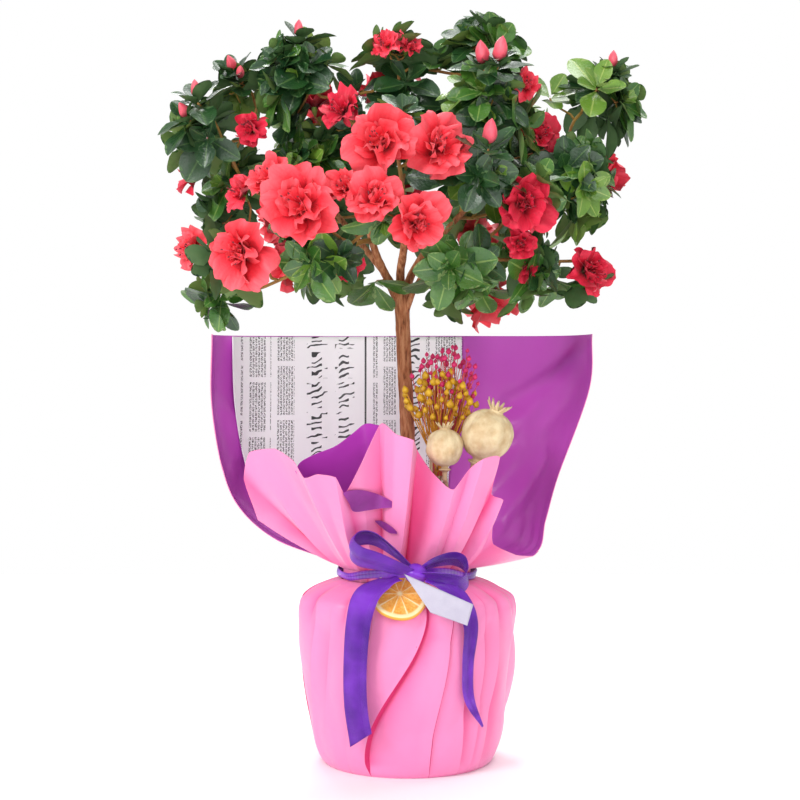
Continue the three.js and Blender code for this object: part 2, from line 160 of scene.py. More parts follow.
def closedFaces(sides, rows):
    # the faces round a closed ring of columns, and a cap at each end
    caps = [[i * rows for i in range(sides)][::-1], [i * rows + rows - 1 for i in range(sides)]]
    return gridFaces(sides, rows, closed=True).tolist() + caps


def placed(name, data):
    made = bpy.data.objects.new(name, data)
    bpy.context.collection.objects.link(made)
    return made


class Shape:
    def __init__(self):
        self.points, self.faces, self.places, self.paints = [], [], [], []
        self.count = 0

    def add(self, points, faces, places=None, paint=0):
        points = np.asarray(points, float).reshape(-1, 3)
        if isinstance(faces, np.ndarray):
            faces = faces.tolist()
        base = self.count
        self.faces.extend([[i + base for i in face] for face in faces])
        self.paints.extend([paint] * len(faces) if np.isscalar(paint) else list(paint))
        places = np.zeros((len(points), 2)) if places is None else np.asarray(places)
        self.places.append(places.reshape(-1, 2))
        self.points.append(points)
        self.count += len(points)
        return self

    def tube(self, line, radii, sides=6, paint=0, relief=None):
        line = np.asarray(line, float)
        radii = np.broadcast_to(radii, len(line))
        along = np.gradient(line, axis=0)
        side = square(along[0], up + 0.01)[0]
        turns = around(sides)
        rings, places, run = [], [], 0.0
        for i, point in enumerate(line):
            run += np.linalg.norm(point - line[i - 1]) if i else 0.0
            heading = unit(along[i])
            side = unit(side - heading * np.dot(side, heading))
            other = np.cross(heading, side)
            spokes = np.outer(np.cos(turns), side) + np.outer(np.sin(turns), other)
            rings.append(point + spokes * radii[i])
            places.append(paired(turns / (2 * math.pi), run))
        rings = np.array(rings)
        if relief is not None:
            middle = line[:, None, :]
            rings = middle + (rings - middle) * (1 + relief(rings, radii))[..., None]
        last = (len(line) - 1) * sides
        a = np.arange(last)
        b = a // sides * sides + (a + 1) % sides
        faces = np.stack([a, b, b + sides, a + sides], axis=1).tolist()
        ends = [list(range(sides))[::-1], list(range(last, last + sides))]
        return self.add(rings, faces + ends, np.array(places), paint)

    def shell(self, grid, thickness, paints=(0, 1), spread=None, chosen=None):
        # closed thin sheet over a grid of points: paints are for the side the normals leave, and the other
        grid = np.asarray(grid, float)
        columns, rows = grid.shape[:2]
        normal = np.cross(np.gradient(grid, axis=0), np.gradient(grid, axis=1))
        normal /= np.linalg.norm(normal, axis=2, keepdims=True) + 1e-12
        half = normal * thickness / 2
        spread = meshed(evenly(columns), evenly(rows)) if spread is None else spread
        faces = gridFaces(columns, rows)
        total = columns * rows
        outer = np.where(np.zeros(len(faces)) if chosen is None else chosen, paints[1], paints[0]).tolist()
        rim = [c * rows for c in range(columns)] + [(columns - 1) * rows + r for r in range(1, rows)]
        rim += [c * rows + rows - 1 for c in range(columns - 2, -1, -1)] + list(range(rows - 2, 0, -1))
        edge = [[a, a + total, b + total, b] for a, b in zip(rim, rim[1:] + rim[:1])]
        both = faces.tolist() + (faces[:, ::-1] + total).tolist() + edge
        paint = outer + [paints[1]] * len(faces) + [paints[0]] * len(edge)
        return self.add(np.stack([grid + half, grid - half]), both, np.stack([spread, spread]), paint)

    def piece(self, name, materials, slotName, replaced=(), crease=None):
        mesh = bpy.data.meshes.new(name)
        mesh.from_pydata(np.concatenate(self.points).tolist(), [], self.faces)
        for material in materials:
            mesh.materials.append(material)
        mesh.polygons.foreach_set("material_index", self.paints)
        mesh.polygons.foreach_set("use_smooth", [True] * len(self.faces))
        corners = np.empty(len(mesh.loops), dtype=np.int32)
        mesh.loops.foreach_get("vertex_index", corners)
        layer = mesh.uv_layers.new(name="UVMap")
        layer.data.foreach_set("uv", np.concatenate(self.places)[corners].astype(np.float32).ravel())
        if crease:
            mesh.set_sharp_from_angle(angle=math.radians(crease))
        mesh.update()
        made = placed(name, mesh)
        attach(made, "root")
        if replaced:
            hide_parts(*replaced)
        print("made", name, sum(len(face) - 2 for face in self.faces), "triangles")


# Materials

def put(tree, kind, inputs=None, **settings):
    made = tree.nodes.new(kind)
    for key, value in settings.items():
        setattr(made, key, value)
    for socket, value in (inputs or {}).items():
        if isinstance(value, bpy.types.NodeSocket):
            tree.links.new(value, made.inputs[socket])
        else:
            made.inputs[socket].default_value = value
    return made


def group(name, inputs, outputs, build):
    tree = bpy.data.node_groups.new(name, "ShaderNodeTree")
    for label, kind, value in inputs:
        socket = tree.interface.new_socket(label, in_out="INPUT", socket_type="NodeSocket" + kind)
        socket.default_value = value
    for label, kind in outputs:
        tree.interface.new_socket(label, in_out="OUTPUT", socket_type="NodeSocket" + kind)
    start, end = tree.nodes.new("NodeGroupInput"), tree.nodes.new("NodeGroupOutput")
    for label, socket in build(tree, start.outputs).items():
        tree.links.new(socket, end.inputs[label])
    return tree


def use(tree, shared, inputs):
    return put(tree, "ShaderNodeGroup", inputs, node_tree=shared).outputs


def maths(tree, operation, *values):
    return put(tree, "ShaderNodeMath", dict(enumerate(values)), operation=operation).outputs[0]


def between(tree, value, low, high, top=1.0, curve="LINEAR"):
    # 0 at low, up to top at high
    inputs = {"Value": value, "From Min": low, "From Max": high, "To Max": top}
    return put(tree, "ShaderNodeMapRange", inputs, interpolation_type=curve).outputs[0]


def blended(tree, share, first, other):
    return put(tree, "ShaderNodeMix", {"Factor": share, 6: first, 7: other}, data_type="RGBA").outputs[2]


def tones(tree, share, stops, steps="LINEAR"):
    made = put(tree, "ShaderNodeValToRGB", {"Fac": share})
    elements = made.color_ramp.elements
    made.color_ramp.interpolation = steps
    while len(elements) < len(stops):
        elements.new(0.5)
    for element, (at, paint) in zip(elements, stops):
        element.position, element.color = at, paint
    return made.outputs["Color"]


def noiseOf(tree, place, scale, detail, **more):
    inputs = {"Vector": place, "Scale": scale, "Detail": detail, **more}
    return put(tree, "ShaderNodeTexNoise", inputs).outputs["Fac"]


def spots(tree, place, scale):
    return put(tree, "ShaderNodeTexVoronoi", {"Vector": place, "Scale": scale}).outputs["Distance"]


def coordinates(tree, kind):
    return put(tree, "ShaderNodeTexCoord").outputs[kind]


def measured(tree, kind, axis):
    # one number of a place, such as the map's X
    return put(tree, "ShaderNodeSeparateXYZ", {0: coordinates(tree, kind)}).outputs[axis]


def colour(*screen):
    # screen colour, 0 to 255, as a linear one
    shares = [c / 255 for c in screen]
    return (*(c / 12.92 if c < 0.04 else ((c + 0.055) / 1.055) ** 2.4 for c in shares), 1.0)


def stretched(tree, stretch=(1, 1, 1), kind="Object"):
    return put(tree, "ShaderNodeMapping", {"Vector": coordinates(tree, kind), "Scale": stretch}).outputs[0]


def buildMottle(tree, given):
    uneven = noiseOf(tree, coordinates(tree, "Object"), given["Scale"], 4.0)
    amount = maths(tree, "MULTIPLY", between(tree, uneven, 0.35, 0.68), given["Amount"])
    return {"Colour": blended(tree, amount, given["Colour"], given["Other"])}


mottle = group("mottle", [("Colour", "Color", white), ("Other", "Color", black),
                          ("Scale", "Float", 40.0), ("Amount", "Float", 0.5)],
               [("Colour", "Color")], buildMottle)


def buildCrinkle(tree, given):
    # broad swells with the small dents of handled paper over them
    place = coordinates(tree, "Object")
    dents = spots(tree, place, maths(tree, "MULTIPLY", given["Scale"], 4.3))
    weak = maths(tree, "MULTIPLY", dents, given["Fine"])
    return {"Height": maths(tree, "ADD", noiseOf(tree, place, given["Scale"], 2.0), weak)}


crinkle = group("crinkle", [("Scale", "Float", 20.0), ("Fine", "Float", 0.2)],
                [("Height", "Float")], buildCrinkle)


def finish(name, baseColour, roughness, bump=None, depth=0.001, coat=0.0, sheen=0.0, specular=0.5):
    # a Principled material with its colour from a socket or a plain value, and a bump from a height
    made = bpy.data.materials.new(name)
    made.use_nodes = True
    tree = made.node_tree
    shader = tree.nodes["Principled BSDF"]
    for socket, wanted in (("Base Color", baseColour), ("Roughness", roughness)):
        picked = wanted(tree) if callable(wanted) else wanted
        if isinstance(picked, bpy.types.NodeSocket):
            tree.links.new(picked, shader.inputs[socket])
        else:
            shader.inputs[socket].default_value = picked
    for socket, value in (("Coat Weight", coat), ("Coat Roughness", 0.12), ("Sheen Weight", sheen),
                          ("Specular IOR Level", specular)):
        shader.inputs[socket].default_value = value
    if bump:
        relief = put(tree, "ShaderNodeBump", {"Height": bump(tree), "Distance": depth, "Strength": 1.0})
        tree.links.new(relief.outputs[0], shader.inputs["Normal"])
    return made


def mottled(first, other, scale, amount):
    inputs = {"Colour": colour(*first), "Other": colour(*other), "Scale": scale, "Amount": amount}
    return lambda tree: use(tree, mottle, inputs)["Colour"]


def noiseHeight(scale, stretch=(1, 1, 1), detail=4.0):
    return lambda tree: noiseOf(tree, stretched(tree, stretch), scale, detail)


# Trunk and boughs

trunk = {
    "line": [(3.4, 0, 112.3), (2.8, 0, 160), (0.6, 0, 240), (-2.4, 0, 310), (-4.2, 0, 357)],
    "foot": 10 * mm, "radius": 5.3 * mm, "fork": 5.8 * mm, "flare": 0.1,
    "ridge": 0.10,       # how deep the bark's flakes stand, as a share of the radius
    "rows": 150, "sides": 40,
}
boughs = {
    "bough_left": ([(-6, -1, 346), (-14, -6, 362), (-24, -14, 384), (-34, -22, 420)], 3.6, 2.2),
    "bough_centre": ([(-4, -1, 350), (-5, -10, 368), (-2, -24, 392), (-4, -40, 430)], 3.6, 2.2),
    "bough_right": ([(-2, 0, 352), (6, 0, 372), (22, -4, 392), (46, -8, 418)], 3.2, 2.0),
    "bough_low_right": ([(-1, -2, 338), (8, -12, 360), (24, -26, 378), (52, -44, 388)], 2.2, 1.4),
    "bough_back_left": ([(-6, 2, 349), (-16, 14, 368), (-34, 32, 392), (-56, 54, 420)], 3.2, 2.0),
    "bough_back_right": ([(-3, 3, 350), (4, 16, 370), (18, 36, 394), (34, 60, 420)], 3.0, 2.0),
}


def barkRelief(rings, radii):
    stretched = rings * np.array([240, 240, 60])
    flakes = np.abs(lumps(stretched, 1.0, 1.0, 3.1)) + 0.5 * lumps(stretched, 2.6, 1.0, 8.2)
    return trunk["ridge"] * flakes


def barkMaterial():
    def tint(tree):
        streak = noiseOf(tree, stretched(tree, (1, 1, 0.16)), 420.0, 5.0, Roughness=0.7)
        return tones(tree, streak, [(0.32, colour(96, 56, 34)), (0.46, colour(168, 104, 68)),
                                    (0.62, colour(196, 138, 98))])
    return finish("flaky_bark", tint, 0.85, noiseHeight(520.0, (1, 1, 0.2), 6.0), 0.0012, specular=0.3)


bark = barkMaterial()
shares = evenly(trunk["rows"])
trunkLine = throughPoints(np.array(trunk["line"]) * mm, shares)
flare = np.maximum(0, 1 - shares / trunk["flare"]) ** 2
trunkRadii = trunk["radius"] + (trunk["foot"] - trunk["radius"]) * flare
trunkRadii = trunkRadii + (trunk["fork"] - trunk["radius"]) * ramp(shares, 0.82, 1.0)
trunkShape = Shape().tube(trunkLine, trunkRadii, trunk["sides"], relief=barkRelief)
trunkShape.piece("trunk_bark", [bark], "bark", ["trunk"])

boughShape = Shape()
joints, jointRadii = [], []
for line, base, tip in boughs.values():
    path = curve(np.array(line) * mm, 44)
    wide = evenly(44, base, tip) * mm
    boughShape.tube(path, wide, 18, relief=barkRelief)
    joints.extend(path[12::4])
    jointRadii.extend(wide[12::4])
boughShape.piece("bough_bark", [bark], "bark", list(boughs))

# Twigs, grown on from the boughs by a seeded rule

growth = {
    "seed": 23,
    "branchStep": 9 * mm,
    "thinnest": 0.75 * mm,
    "bend": 0.22,          # how far a branch bows, as a share of its length
    "sprayGap": 29 * mm,   # between neighbouring sprays of leaves over a mass
    "sprayDepth": 17 * mm, # how far a spray's foot stands inside its mass
    "hidden": -0.35,       # sprays that face further inwards than this are left out
    "bloomGap": 1.15,      # how clear a spray keeps of a bloom, as a share of the bloom's radius
    "budLift": 4 * mm,     # how far a bud stands above its spray
    "blooms": 3,           # tries at a bloom on each mass behind
    "backGap": 1.6,
    "backWidth": (38, 60),
    "leaves": (6, 9),
    "leafLength": 29 * mm,
}
rng = random.Random(growth["seed"])
fork = trunkLine[-1]
headMiddle = np.array([0.0, 0.0, 0.430])
masses = {name: np.array(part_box(name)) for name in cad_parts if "_mass_" in name}
print("masses", len(masses))


def middleOf(name):
    return masses[name].mean(axis=0)


def halfOf(name):
    return (masses[name][1] - masses[name][0]) / 2


def jitter(size):
    return np.array([rng.uniform(-1, 1) for _ in range(3)]) * size


def grow(shape, start, end, thick, thin, heading, sides=6):
    # one bowed branch from a joint to a place; returns its points and radii
    length = np.linalg.norm(end - start)
    bow = unit(heading) * length * 0.34
    aim = unit(unit(end - headMiddle) + up * 0.5) * length * 0.28
    middleA = start + bow + jitter(length * growth["bend"] * 0.4)
    middleB = end - aim + jitter(length * growth["bend"] * 0.4)
    steps = max(4, int(length / growth["branchStep"]))
    t = evenly(steps + 1)[:, None]
    path = ((1 - t) ** 3 * start + 3 * (1 - t) ** 2 * t * middleA
            + 3 * (1 - t) * t ** 2 * middleB + t ** 3 * end)
    radii = evenly(steps + 1, thick, thin)
    shape.tube(path, radii, sides)
    return path, radii


def nearestJoint(place, inward=True):
    best, bestCost = 0, 9.0
    reach = np.linalg.norm(place - fork)
    for i, joint in enumerate(joints):
        if inward and np.linalg.norm(joint - fork) > reach * 0.92:
            continue
        cost = np.linalg.norm(place - joint) * (1.15 if jointRadii[i] < 1.3 * mm else 1.0)
        if cost < bestCost:
            best, bestCost = i, cost
    return best


# Leaves: one closed leaf in several bends, set in whorled sprays

leaf = {
    "width": 0.32,          # half the width, as a share of the length
    "thickness": 0.012,
    "rows": [0, 0.11, 0.25, 0.41, 0.58, 0.74, 0.87, 0.96, 1.0],
    "bends": [(0.14, 0.30, 0.05), (0.28, 0.20, 0.10), (0.02, 0.40, 0.04), (0.40, 0.26, 0.12),
              (0.20, 0.10, 0.16), (-0.12, 0.24, 0.08)],   # curl, fold and wave
    "tones": {"dark": 0.50, "mid": 0.32, "light": 0.18},
    "skins": {  # above, its mottling, the midrib, beneath
        "dark": ((24, 58, 30), (44, 84, 38), (84, 118, 62), (84, 116, 70)),
        "mid": ((52, 100, 36), (82, 126, 44), (140, 168, 86), (120, 146, 84)),
        "light": ((92, 134, 44), (124, 160, 56), (170, 188, 96), (136, 160, 88)),
    },
}


def leafPoints(curl, fold, wave):
    across, along = np.meshgrid(evenly(5, -1), leaf["rows"], indexing="ij")
    half = leaf["width"] * np.sin(np.pi * along ** 1.05) ** 0.60 * (0.45 + 0.55 * ramp(along, 0.0, 0.5))
    half = half + 0.012
    rise = fold * np.abs(across) * half - curl * along ** 2 * 0.5
    rise = rise + wave * np.sin(along * 8 + across * 1.5) * across ** 2 * half
    top = np.dstack([across * half, along, rise])
    under = top.copy()
    under[..., 2] -= leaf["thickness"] * (1 - np.abs(across)) * np.sin(np.pi * along)
    return np.concatenate([top.reshape(-1, 3), under.reshape(-1, 3)])


leafGrid = gridFaces(5, 9)
leafFaces = np.concatenate([leafGrid, leafGrid[:, ::-1] + 45])
leafPaints = [0] * len(leafGrid) + [1] * len(leafGrid)
leafPlaces = np.concatenate([meshed(evenly(5), leaf["rows"]).reshape(-1, 2)] * 2)
leafBends = [leafPoints(*bend) for bend in leaf["bends"]]
leafShapes = {tone: Shape() for tone in leaf["tones"]}
twigShape = Shape()


def addLeaf(tone, foot, heading, faceUp, length, bend=None):
    bend = leafBends[rng.randrange(len(leafBends)) if bend is None else bend]
    axes = square(heading, faceUp)
    swell = np.array([rng.uniform(0.88, 1.12), 1, 1])
    leafShapes[tone].add(foot + (bend * swell * length) @ axes, leafFaces, leafPlaces, leafPaints)


def addSpray(foot, axis, tone, length, count, shoot=False):
    # a whorl of leaves round a twig's tip: wide long ones outside, short upright ones inside
    axis = unit(axis)
    axes = square(axis, up + 0.01)
    start = rng.uniform(0, 2 * math.pi)
    for i in range(count):
        share = i / max(count - 1, 1)
        turn = start + i * goldenTurn + rng.uniform(-0.2, 0.2)
        lean = math.radians(86 - 46 * share + rng.uniform(-13, 13))
        sideways = spoke(axes, turn)
        heading = axis * math.cos(lean) + sideways * math.sin(lean) - up * 0.12 * (1 - share)
        size = length * (1.02 - 0.46 * share) * rng.uniform(0.80, 1.16)
        spot = foot + axis * (share * 0.18 - 0.06) * length + sideways * 0.9 * mm
        addLeaf(tone, spot, heading, axis, size)
    if shoot:
        for i in range(4):
            sideways = spoke(axes, start + i * goldenTurn)
            addLeaf("light", foot + axis * 2 * mm, axis + sideways * 0.5, sideways * -1, length * 0.42, 2)


# Blooms: double, with ruffled petals in three whorls and a few stamens

bloom = {
    "whorls": [  # petals, length, half width, tilt at the foot and at the tip, ruffle
        (5, 1.04, 0.56, 24, 100, 0.15),
        (5, 0.86, 0.52, 14, 76, 0.18),
        (4, 0.60, 0.46, 6, 46, 0.23),
        (5, 0.42, 0.36, 0, 22, 0.27),
    ],
    "grid": (13, 9),
    "forms": 8,
    "stamens": 5,
    "tones": {  # edge, middle, throat: the middle is the petal's own colour, the paler edge is painted light and the dark throat is painted shade
        "coral": ((250, 92, 104), (236, 44, 62), (170, 8, 28)),
        "rose": ((246, 72, 94), (226, 30, 58), (150, 6, 28)),
        # a darker copy of the petal colours: painted shade for blooms on the shaded right side and behind
        "crimson": ((226, 34, 68), (194, 14, 46), (110, 2, 22)),
    },
}


def petalPoints(length, half, tiltFoot, tiltTip, ruffle, dice):
    columns, rows = bloom["grid"]
    across, along = np.meshgrid(evenly(columns, -1), evenly(rows), indexing="ij")
    tilts = np.radians(mix(tiltFoot, tiltTip + dice.uniform(-20, 16), along[0] ** 0.6))
    step = length / (rows - 1)
    run, rise = (np.concatenate([[0], np.cumsum(wave(tilts[1:]) * step)]) for wave in (np.sin, np.cos))
    wide = half * length * (0.10 + 0.90 * np.sin(np.pi / 2 * along ** 0.75) * (1 - 0.22 * along ** 5))
    notch = 1 - 0.20 * across ** 2 * along - 0.07 * along * np.exp(-(across * 5) ** 2)
    notch = notch + 0.035 * along ** 2 * np.sin(across * dice.uniform(6, 9) + dice.uniform(0, 6))
    phase, lean = dice.uniform(0, 6), dice.uniform(-0.35, 0.35)
    waves = dice.uniform(2.0, 3.0)
    frill = ruffle * length * along ** 1.3 * (1.2 * np.sin(across * waves + phase)
                                              + 0.55 * np.sin(across * waves * 2.6 + 2 * phase + along * 3))
    frill = frill + 0.5 * ruffle * length * along ** 3 * np.abs(across) * np.sin(across * 11 + phase)
    cup = 0.20 * length * (across ** 2) * along * (1 - 0.6 * along) + lean * across * along * length * half
    crease = -0.05 * length * np.exp(-(across * 6) ** 2) * along
    out = run[None, :] * notch
    lift = rise[None, :] * notch + (frill + cup + crease) * np.sin(tilts)[None, :]
    out = out - (frill + cup) * np.cos(tilts)[None, :] * 0.9
    return np.dstack([across * wide, out, lift])


def bloomForm(dice):
    parts = []
    turnBase, spread = dice.uniform(0, 6), dice.uniform(0.82, 1.0)
    for number, (count, length, half, tiltFoot, tiltTip, ruffle) in enumerate(bloom["whorls"]):
        drift = [dice.uniform(-0.07, 0.07) * number, dice.uniform(-0.07, 0.07) * number]
        for i in range(count):
            grid = petalPoints(length * dice.uniform(0.82, 1.1), half * dice.uniform(0.85, 1.12), tiltFoot,
                               tiltTip * spread, ruffle, dice)
            turn = turnBase + number * 0.63 + (i + dice.uniform(-0.22, 0.22)) * 2 * math.pi / count
            c, s = math.cos(turn), math.sin(turn)
            x, y, z = grid[..., 0], grid[..., 1], grid[..., 2] + 0.04 * number + dice.uniform(-0.03, 0.03)
            parts.append(np.dstack([x * c - y * s + drift[0], x * s + y * c + drift[1], z]).reshape(-1, 3))
    columns, rows = bloom["grid"]
    faces = np.concatenate([gridFaces(columns, rows) + i * columns * rows for i in range(len(parts))])
    places = [meshed(evenly(columns), evenly(rows)).reshape(-1, 2)] * len(parts)
    return np.concatenate(parts), faces, np.concatenate(places)


dice = random.Random(5)
bloomForms = [bloomForm(dice) for _ in range(bloom["forms"])]
bloomShapes = {tone: Shape() for tone in bloom["tones"]}
stamenShape, greenShape, budShape = Shape(), Shape(), Shape()
bloomSpots = []


def addBloom(tone, place, axis, width):
    form, faces, places = bloomForms[rng.randrange(len(bloomForms))]
    axes = square(axis, jitter(1.0))
    radius = width / 2
    uneven = np.array([rng.uniform(0.86, 1.06), rng.uniform(0.86, 1.06), rng.uniform(0.9, 1.3)])
    seat = place - unit(axis) * radius * 0.42
    turned = np.array([axes[0], axes[2], axes[1]])
    bloomShapes[tone].add(seat + (form * uneven * radius) @ turned, faces, places)
    for _ in range(bloom["stamens"]):
        lean = axes[0] * rng.uniform(-0.35, 0.35) + axes[2] * rng.uniform(-0.35, 0.35)
        tip = seat + (unit(axis) + lean) * radius * rng.uniform(0.62, 0.8)
        line = curve([seat, mix(seat, tip, 0.5) + lean * radius * 0.1, tip], 5)
        stamenShape.tube(line, evenly(5, 0.35, 0.22) * mm, 4)
        stamenShape.tube([tip, tip + unit(lean + axis) * 1.3 * mm], 0.55 * mm, 5, paint=1)
    cup = [seat - unit(axis) * 5 * mm, seat - unit(axis) * 1 * mm, seat + unit(axis) * 2.5 * mm]
    greenShape.tube(cup, np.array([0.9, 2.2, 2.6]) * mm, 8)
    return seat - unit(axis) * 5 * mm


def addBud(place, axis, length):
    # a pointed bud of furled petals over a ring of green scales
    axes = square(axis, up + 0.01)
    rows, sides = 9, 12
    share = evenly(rows)
    girth = length * 0.295 * np.sin(np.pi * share ** 0.72) ** 0.8 + 0.0002
    turns = around(sides)
    ring = girth[None, :] * (1 + 0.16 * np.cos(2.5 * turns[:, None] + 5 * share[None, :]))
    spin = turns[:, None] + 1.2 * share[None, :]
    stem = np.broadcast_to(share * length, ring.shape)
    points = polar(ring, spin, stem)[..., [0, 2, 1]]
    budShape.add(place + points.reshape(-1, 3) @ axes, gridFaces(sides, rows, closed=True)[:, ::-1])
    for i in range(6):
        sideways = spoke(axes, i * goldenTurn)
        addLeaf("light", place - axes[1] * 1.5 * mm, axes[1] + sideways * 0.42, -sideways, length * 0.36, 2)


# Blooms that show from the front, by mass: offset from its middle and width in mm, where it faces, tone
bloomsInSight = {
    "bloom_mass_top": [((-9, -20, 6), 28, (-20, 35), "rose"), ((8, -10, 8), 24, (25, 40), "rose")],
    "bloom_mass_centre": [((-9, -33, -7), 62, (-8, 8), "coral"), ((31, -25, -9), 54, (22, 10), "coral"),
                          ((-38, 6, 22), 40, (-30, 30), "crimson")],
    "bloom_mass_front": [((-2, -26, 3), 42, (5, 18), "coral"), ((-23, -11, 12), 32, (-25, 20), "coral"),
                         ((26, -25, -13), 50, (18, -4), "coral")],
    "bloom_mass_front_left": [((7, -24, -3), 62, (-14, 4), "coral"),
                              ((-16, 0, 20), 38, (-30, 30), "coral")],
    "bloom_mass_low_left": [((3, -19, -2), 64, (-22, -4), "coral"), ((0, 6, 44), 34, (-40, 25), "rose")],
    "bloom_mass_left_tip": [((-3, -9, -2), 38, (-50, 5), "coral")],
    "heart_mass_left": [((-48, -38, 23), 32, (-30, 10), "crimson")],
    "leaf_mass_low_front_left": [((18, 0, -5), 30, (10, -30), "crimson")],
    "leaf_mass_right_shoulder": [((25, -7, 13), 27, (25, 30), "rose")],
    "leaf_mass_far_right": [((-24, -5, 28), 36, (20, 20), "crimson")],
    "bloom_mass_right": [((-4, -18, -4), 50, (10, 0), "crimson"), ((-6, 0, -30), 28, (15, -10), "crimson")],
    "leaf_mass_low_right": [((-2, -14, -1), 24, (0, 0), "crimson")],
    "bloom_mass_right_tip": [((3, -11, -4), 44, (32, 2), "crimson")],
}
# Pink buds over sprays, by mass: offset from its middle and length in mm, where it points
budsInSight = {
    "leaf_mass_far_left": [((-4, -18, 18), 13, (-10, 70)), ((-9, -20, 4), 12, (-40, 50))],
    "leaf_mass_upper_left": [((-6, -10, 11), 12, (-30, 55)), ((-2, -12, 4), 11, (10, 50))],
    "leaf_mass_top_left": [((0, -10, 20), 12, (10, 80))],
    "leaf_mass_right_shoulder": [((-6, -24, 20), 17, (-15, 60)), ((4, -22, 22), 18, (20, 65))],
    "leaf_mass_front_right": [((6, -20, 14), 18, (10, 60))],
    "leaf_mass_upper_right": [((8, -6, 20), 13, (10, 80))],
}
# Sprays that show from the front: foot in mm, where it points, tone and leaves
spraysInSight = [
    ((0, -24, 507), (0, 38), "dark", 8), ((-4, -14, 494), (-20, 20), "dark", 7),
    ((20, -8, 526), (20, 60), "mid", 7), ((-36, -8, 503), (-35, 40), "dark", 7),
    ((-38, -16, 476), (-20, 10), "dark", 7), ((-88, -14, 484), (-20, 35), "dark", 8),
    ((-64, -10, 452), (-10, 15), "mid", 7), ((108, -6, 500), (25, 50), "light", 7),
    ((84, -18, 452), (10, 5), "dark", 8), ((-24, -14, 360), (-15, -60), "mid", 5),
    ((27, -16, 362), (10, -65), "mid", 5), ((54, -20, 356), (15, -70), "mid", 6),
    ((110, -20, 362), (20, -60), "mid", 5), ((34, -4, 438), (5, 15), "dark", 8),
    ((20, 2, 410), (10, -10), "mid", 6),
]


def outwardAt(place):
    return unit((place - headMiddle) * np.array([1, 1, 1.25]) + up * 0.03)


def growToMass(name):
    middle = middleOf(name)
    outward = outwardAt(middle)
    hub = middle - outward * halfOf(name) * 0.45
    parent = nearestJoint(hub)
    heading = unit(outward + up * 0.2 + jitter(0.35))
    thick = min(jointRadii[parent] * 0.86, 2.1 * mm)
    path, radii = grow(twigShape, joints[parent], hub, thick, 1.25 * mm, heading, 7)
    joints.extend(path[2:])
    jointRadii.extend(radii[2:])


def growTwig(foot, heading):
    parent = nearestJoint(foot, inward=False)
    thick = min(jointRadii[parent] * 0.8, 1.25 * mm)
    path, radii = grow(twigShape, joints[parent], foot, thick, growth["thinnest"], heading, 5)
    joints.append(path[len(path) // 2])
    jointRadii.append(radii[len(path) // 2])


for name in sorted(masses, key=lambda n: np.linalg.norm(middleOf(n) - fork)):
    growToMass(name)

def inSight(rows):
    # each row of a table by mass, with the place that its offset stands for
    return [(middleOf(name) + np.array(row[0]) * mm, *row[1:]) for name in rows for row in rows[name]]


for place, width, (turn, tilt), tone in inSight(bloomsInSight):
    axis = facing(turn, tilt)
    foot = addBloom(tone, place, axis, width * mm)
    growTwig(foot, outwardAt(place))
    bloomSpots.append((place, width * mm / 2))

for name in sorted(masses):
    if not name.startswith(("back_mass", "heart")):
        continue
    middle, half = middleOf(name), halfOf(name)
    for _ in range(growth["blooms"]):
        aim = unit(outwardAt(middle) + jitter(0.75))
        place = middle + aim * half * 0.86
        if aim @ outwardAt(middle) < 0.3 or middle[1] < 0:
            continue
        if min(np.linalg.norm(place - spot) / size for spot, size in bloomSpots) < growth["backGap"]:
            continue
        width = rng.uniform(*growth["backWidth"]) * mm
        # blooms behind sometimes take the darker copy of the petals, painted shade
        foot = addBloom(rng.choice(["coral", "coral", "rose", "crimson"]), place, aim, width)
        growTwig(foot, aim)
        bloomSpots.append((place, width / 2))

for place, length, (turn, tilt) in inSight(budsInSight):
    axis = facing(turn, tilt)
    addBud(place + axis * growth["budLift"], axis, length * mm)
    growTwig(place, axis)
    addSpray(place - unit(axis) * 2 * mm, axis, "dark", growth["leafLength"], 8)
    bloomSpots.append((place, 9 * mm))


def toneFor(dice):
    pick = dice.random()
    for tone, share in leaf["tones"].items():
        pick -= share
        if pick <= 0:
            return tone
    return "dark"


for place, (turn, tilt), tone, count in spraysInSight:
    foot = np.array(place) * mm
    growTwig(foot, facing(turn, tilt))
    addSpray(foot, facing(turn, tilt), tone, growth["leafLength"] * 1.1, count)

for name in sorted(masses):
    middle, half = middleOf(name), halfOf(name)
    size = (half[0] * half[1] * half[2]) ** (1 / 3)
    count = int(4 * math.pi * size ** 2 / growth["sprayGap"] ** 2)
    for i in range(count):
        height = 1 - 2 * (i + 0.5) / count
        turn = i * goldenTurn + rng.uniform(-0.3, 0.3)
        level = math.sqrt(1 - height * height)
        aim = unit(np.array([level * math.cos(turn), level * math.sin(turn), height]) + jitter(0.12))
        if aim @ outwardAt(middle) < growth["hidden"]:
            continue
        reach = 1 / np.linalg.norm(aim / half)
        inset = growth["sprayDepth"] * (1 + 0.5 * max(aim[2], 0)) + rng.uniform(-7, 9) * mm
        foot = middle + aim * max(reach - inset, reach * 0.3)
        axis = unit(aim + outwardAt(middle) * 0.5 + up * 0.2)
        tip = foot + axis * 10 * mm
        if any(np.linalg.norm(tip - spot) < size * growth["bloomGap"] for spot, size in bloomSpots):
            continue
        growTwig(foot, axis)
        low = foot[2] < 0.385 and rng.random() < 0.4
        tone = "mid" if low else toneFor(rng)
        addSpray(foot, axis, tone, growth["leafLength"] * rng.uniform(0.85, 1.1),
                 rng.randint(*growth["leaves"]), shoot=rng.random() < 0.16)


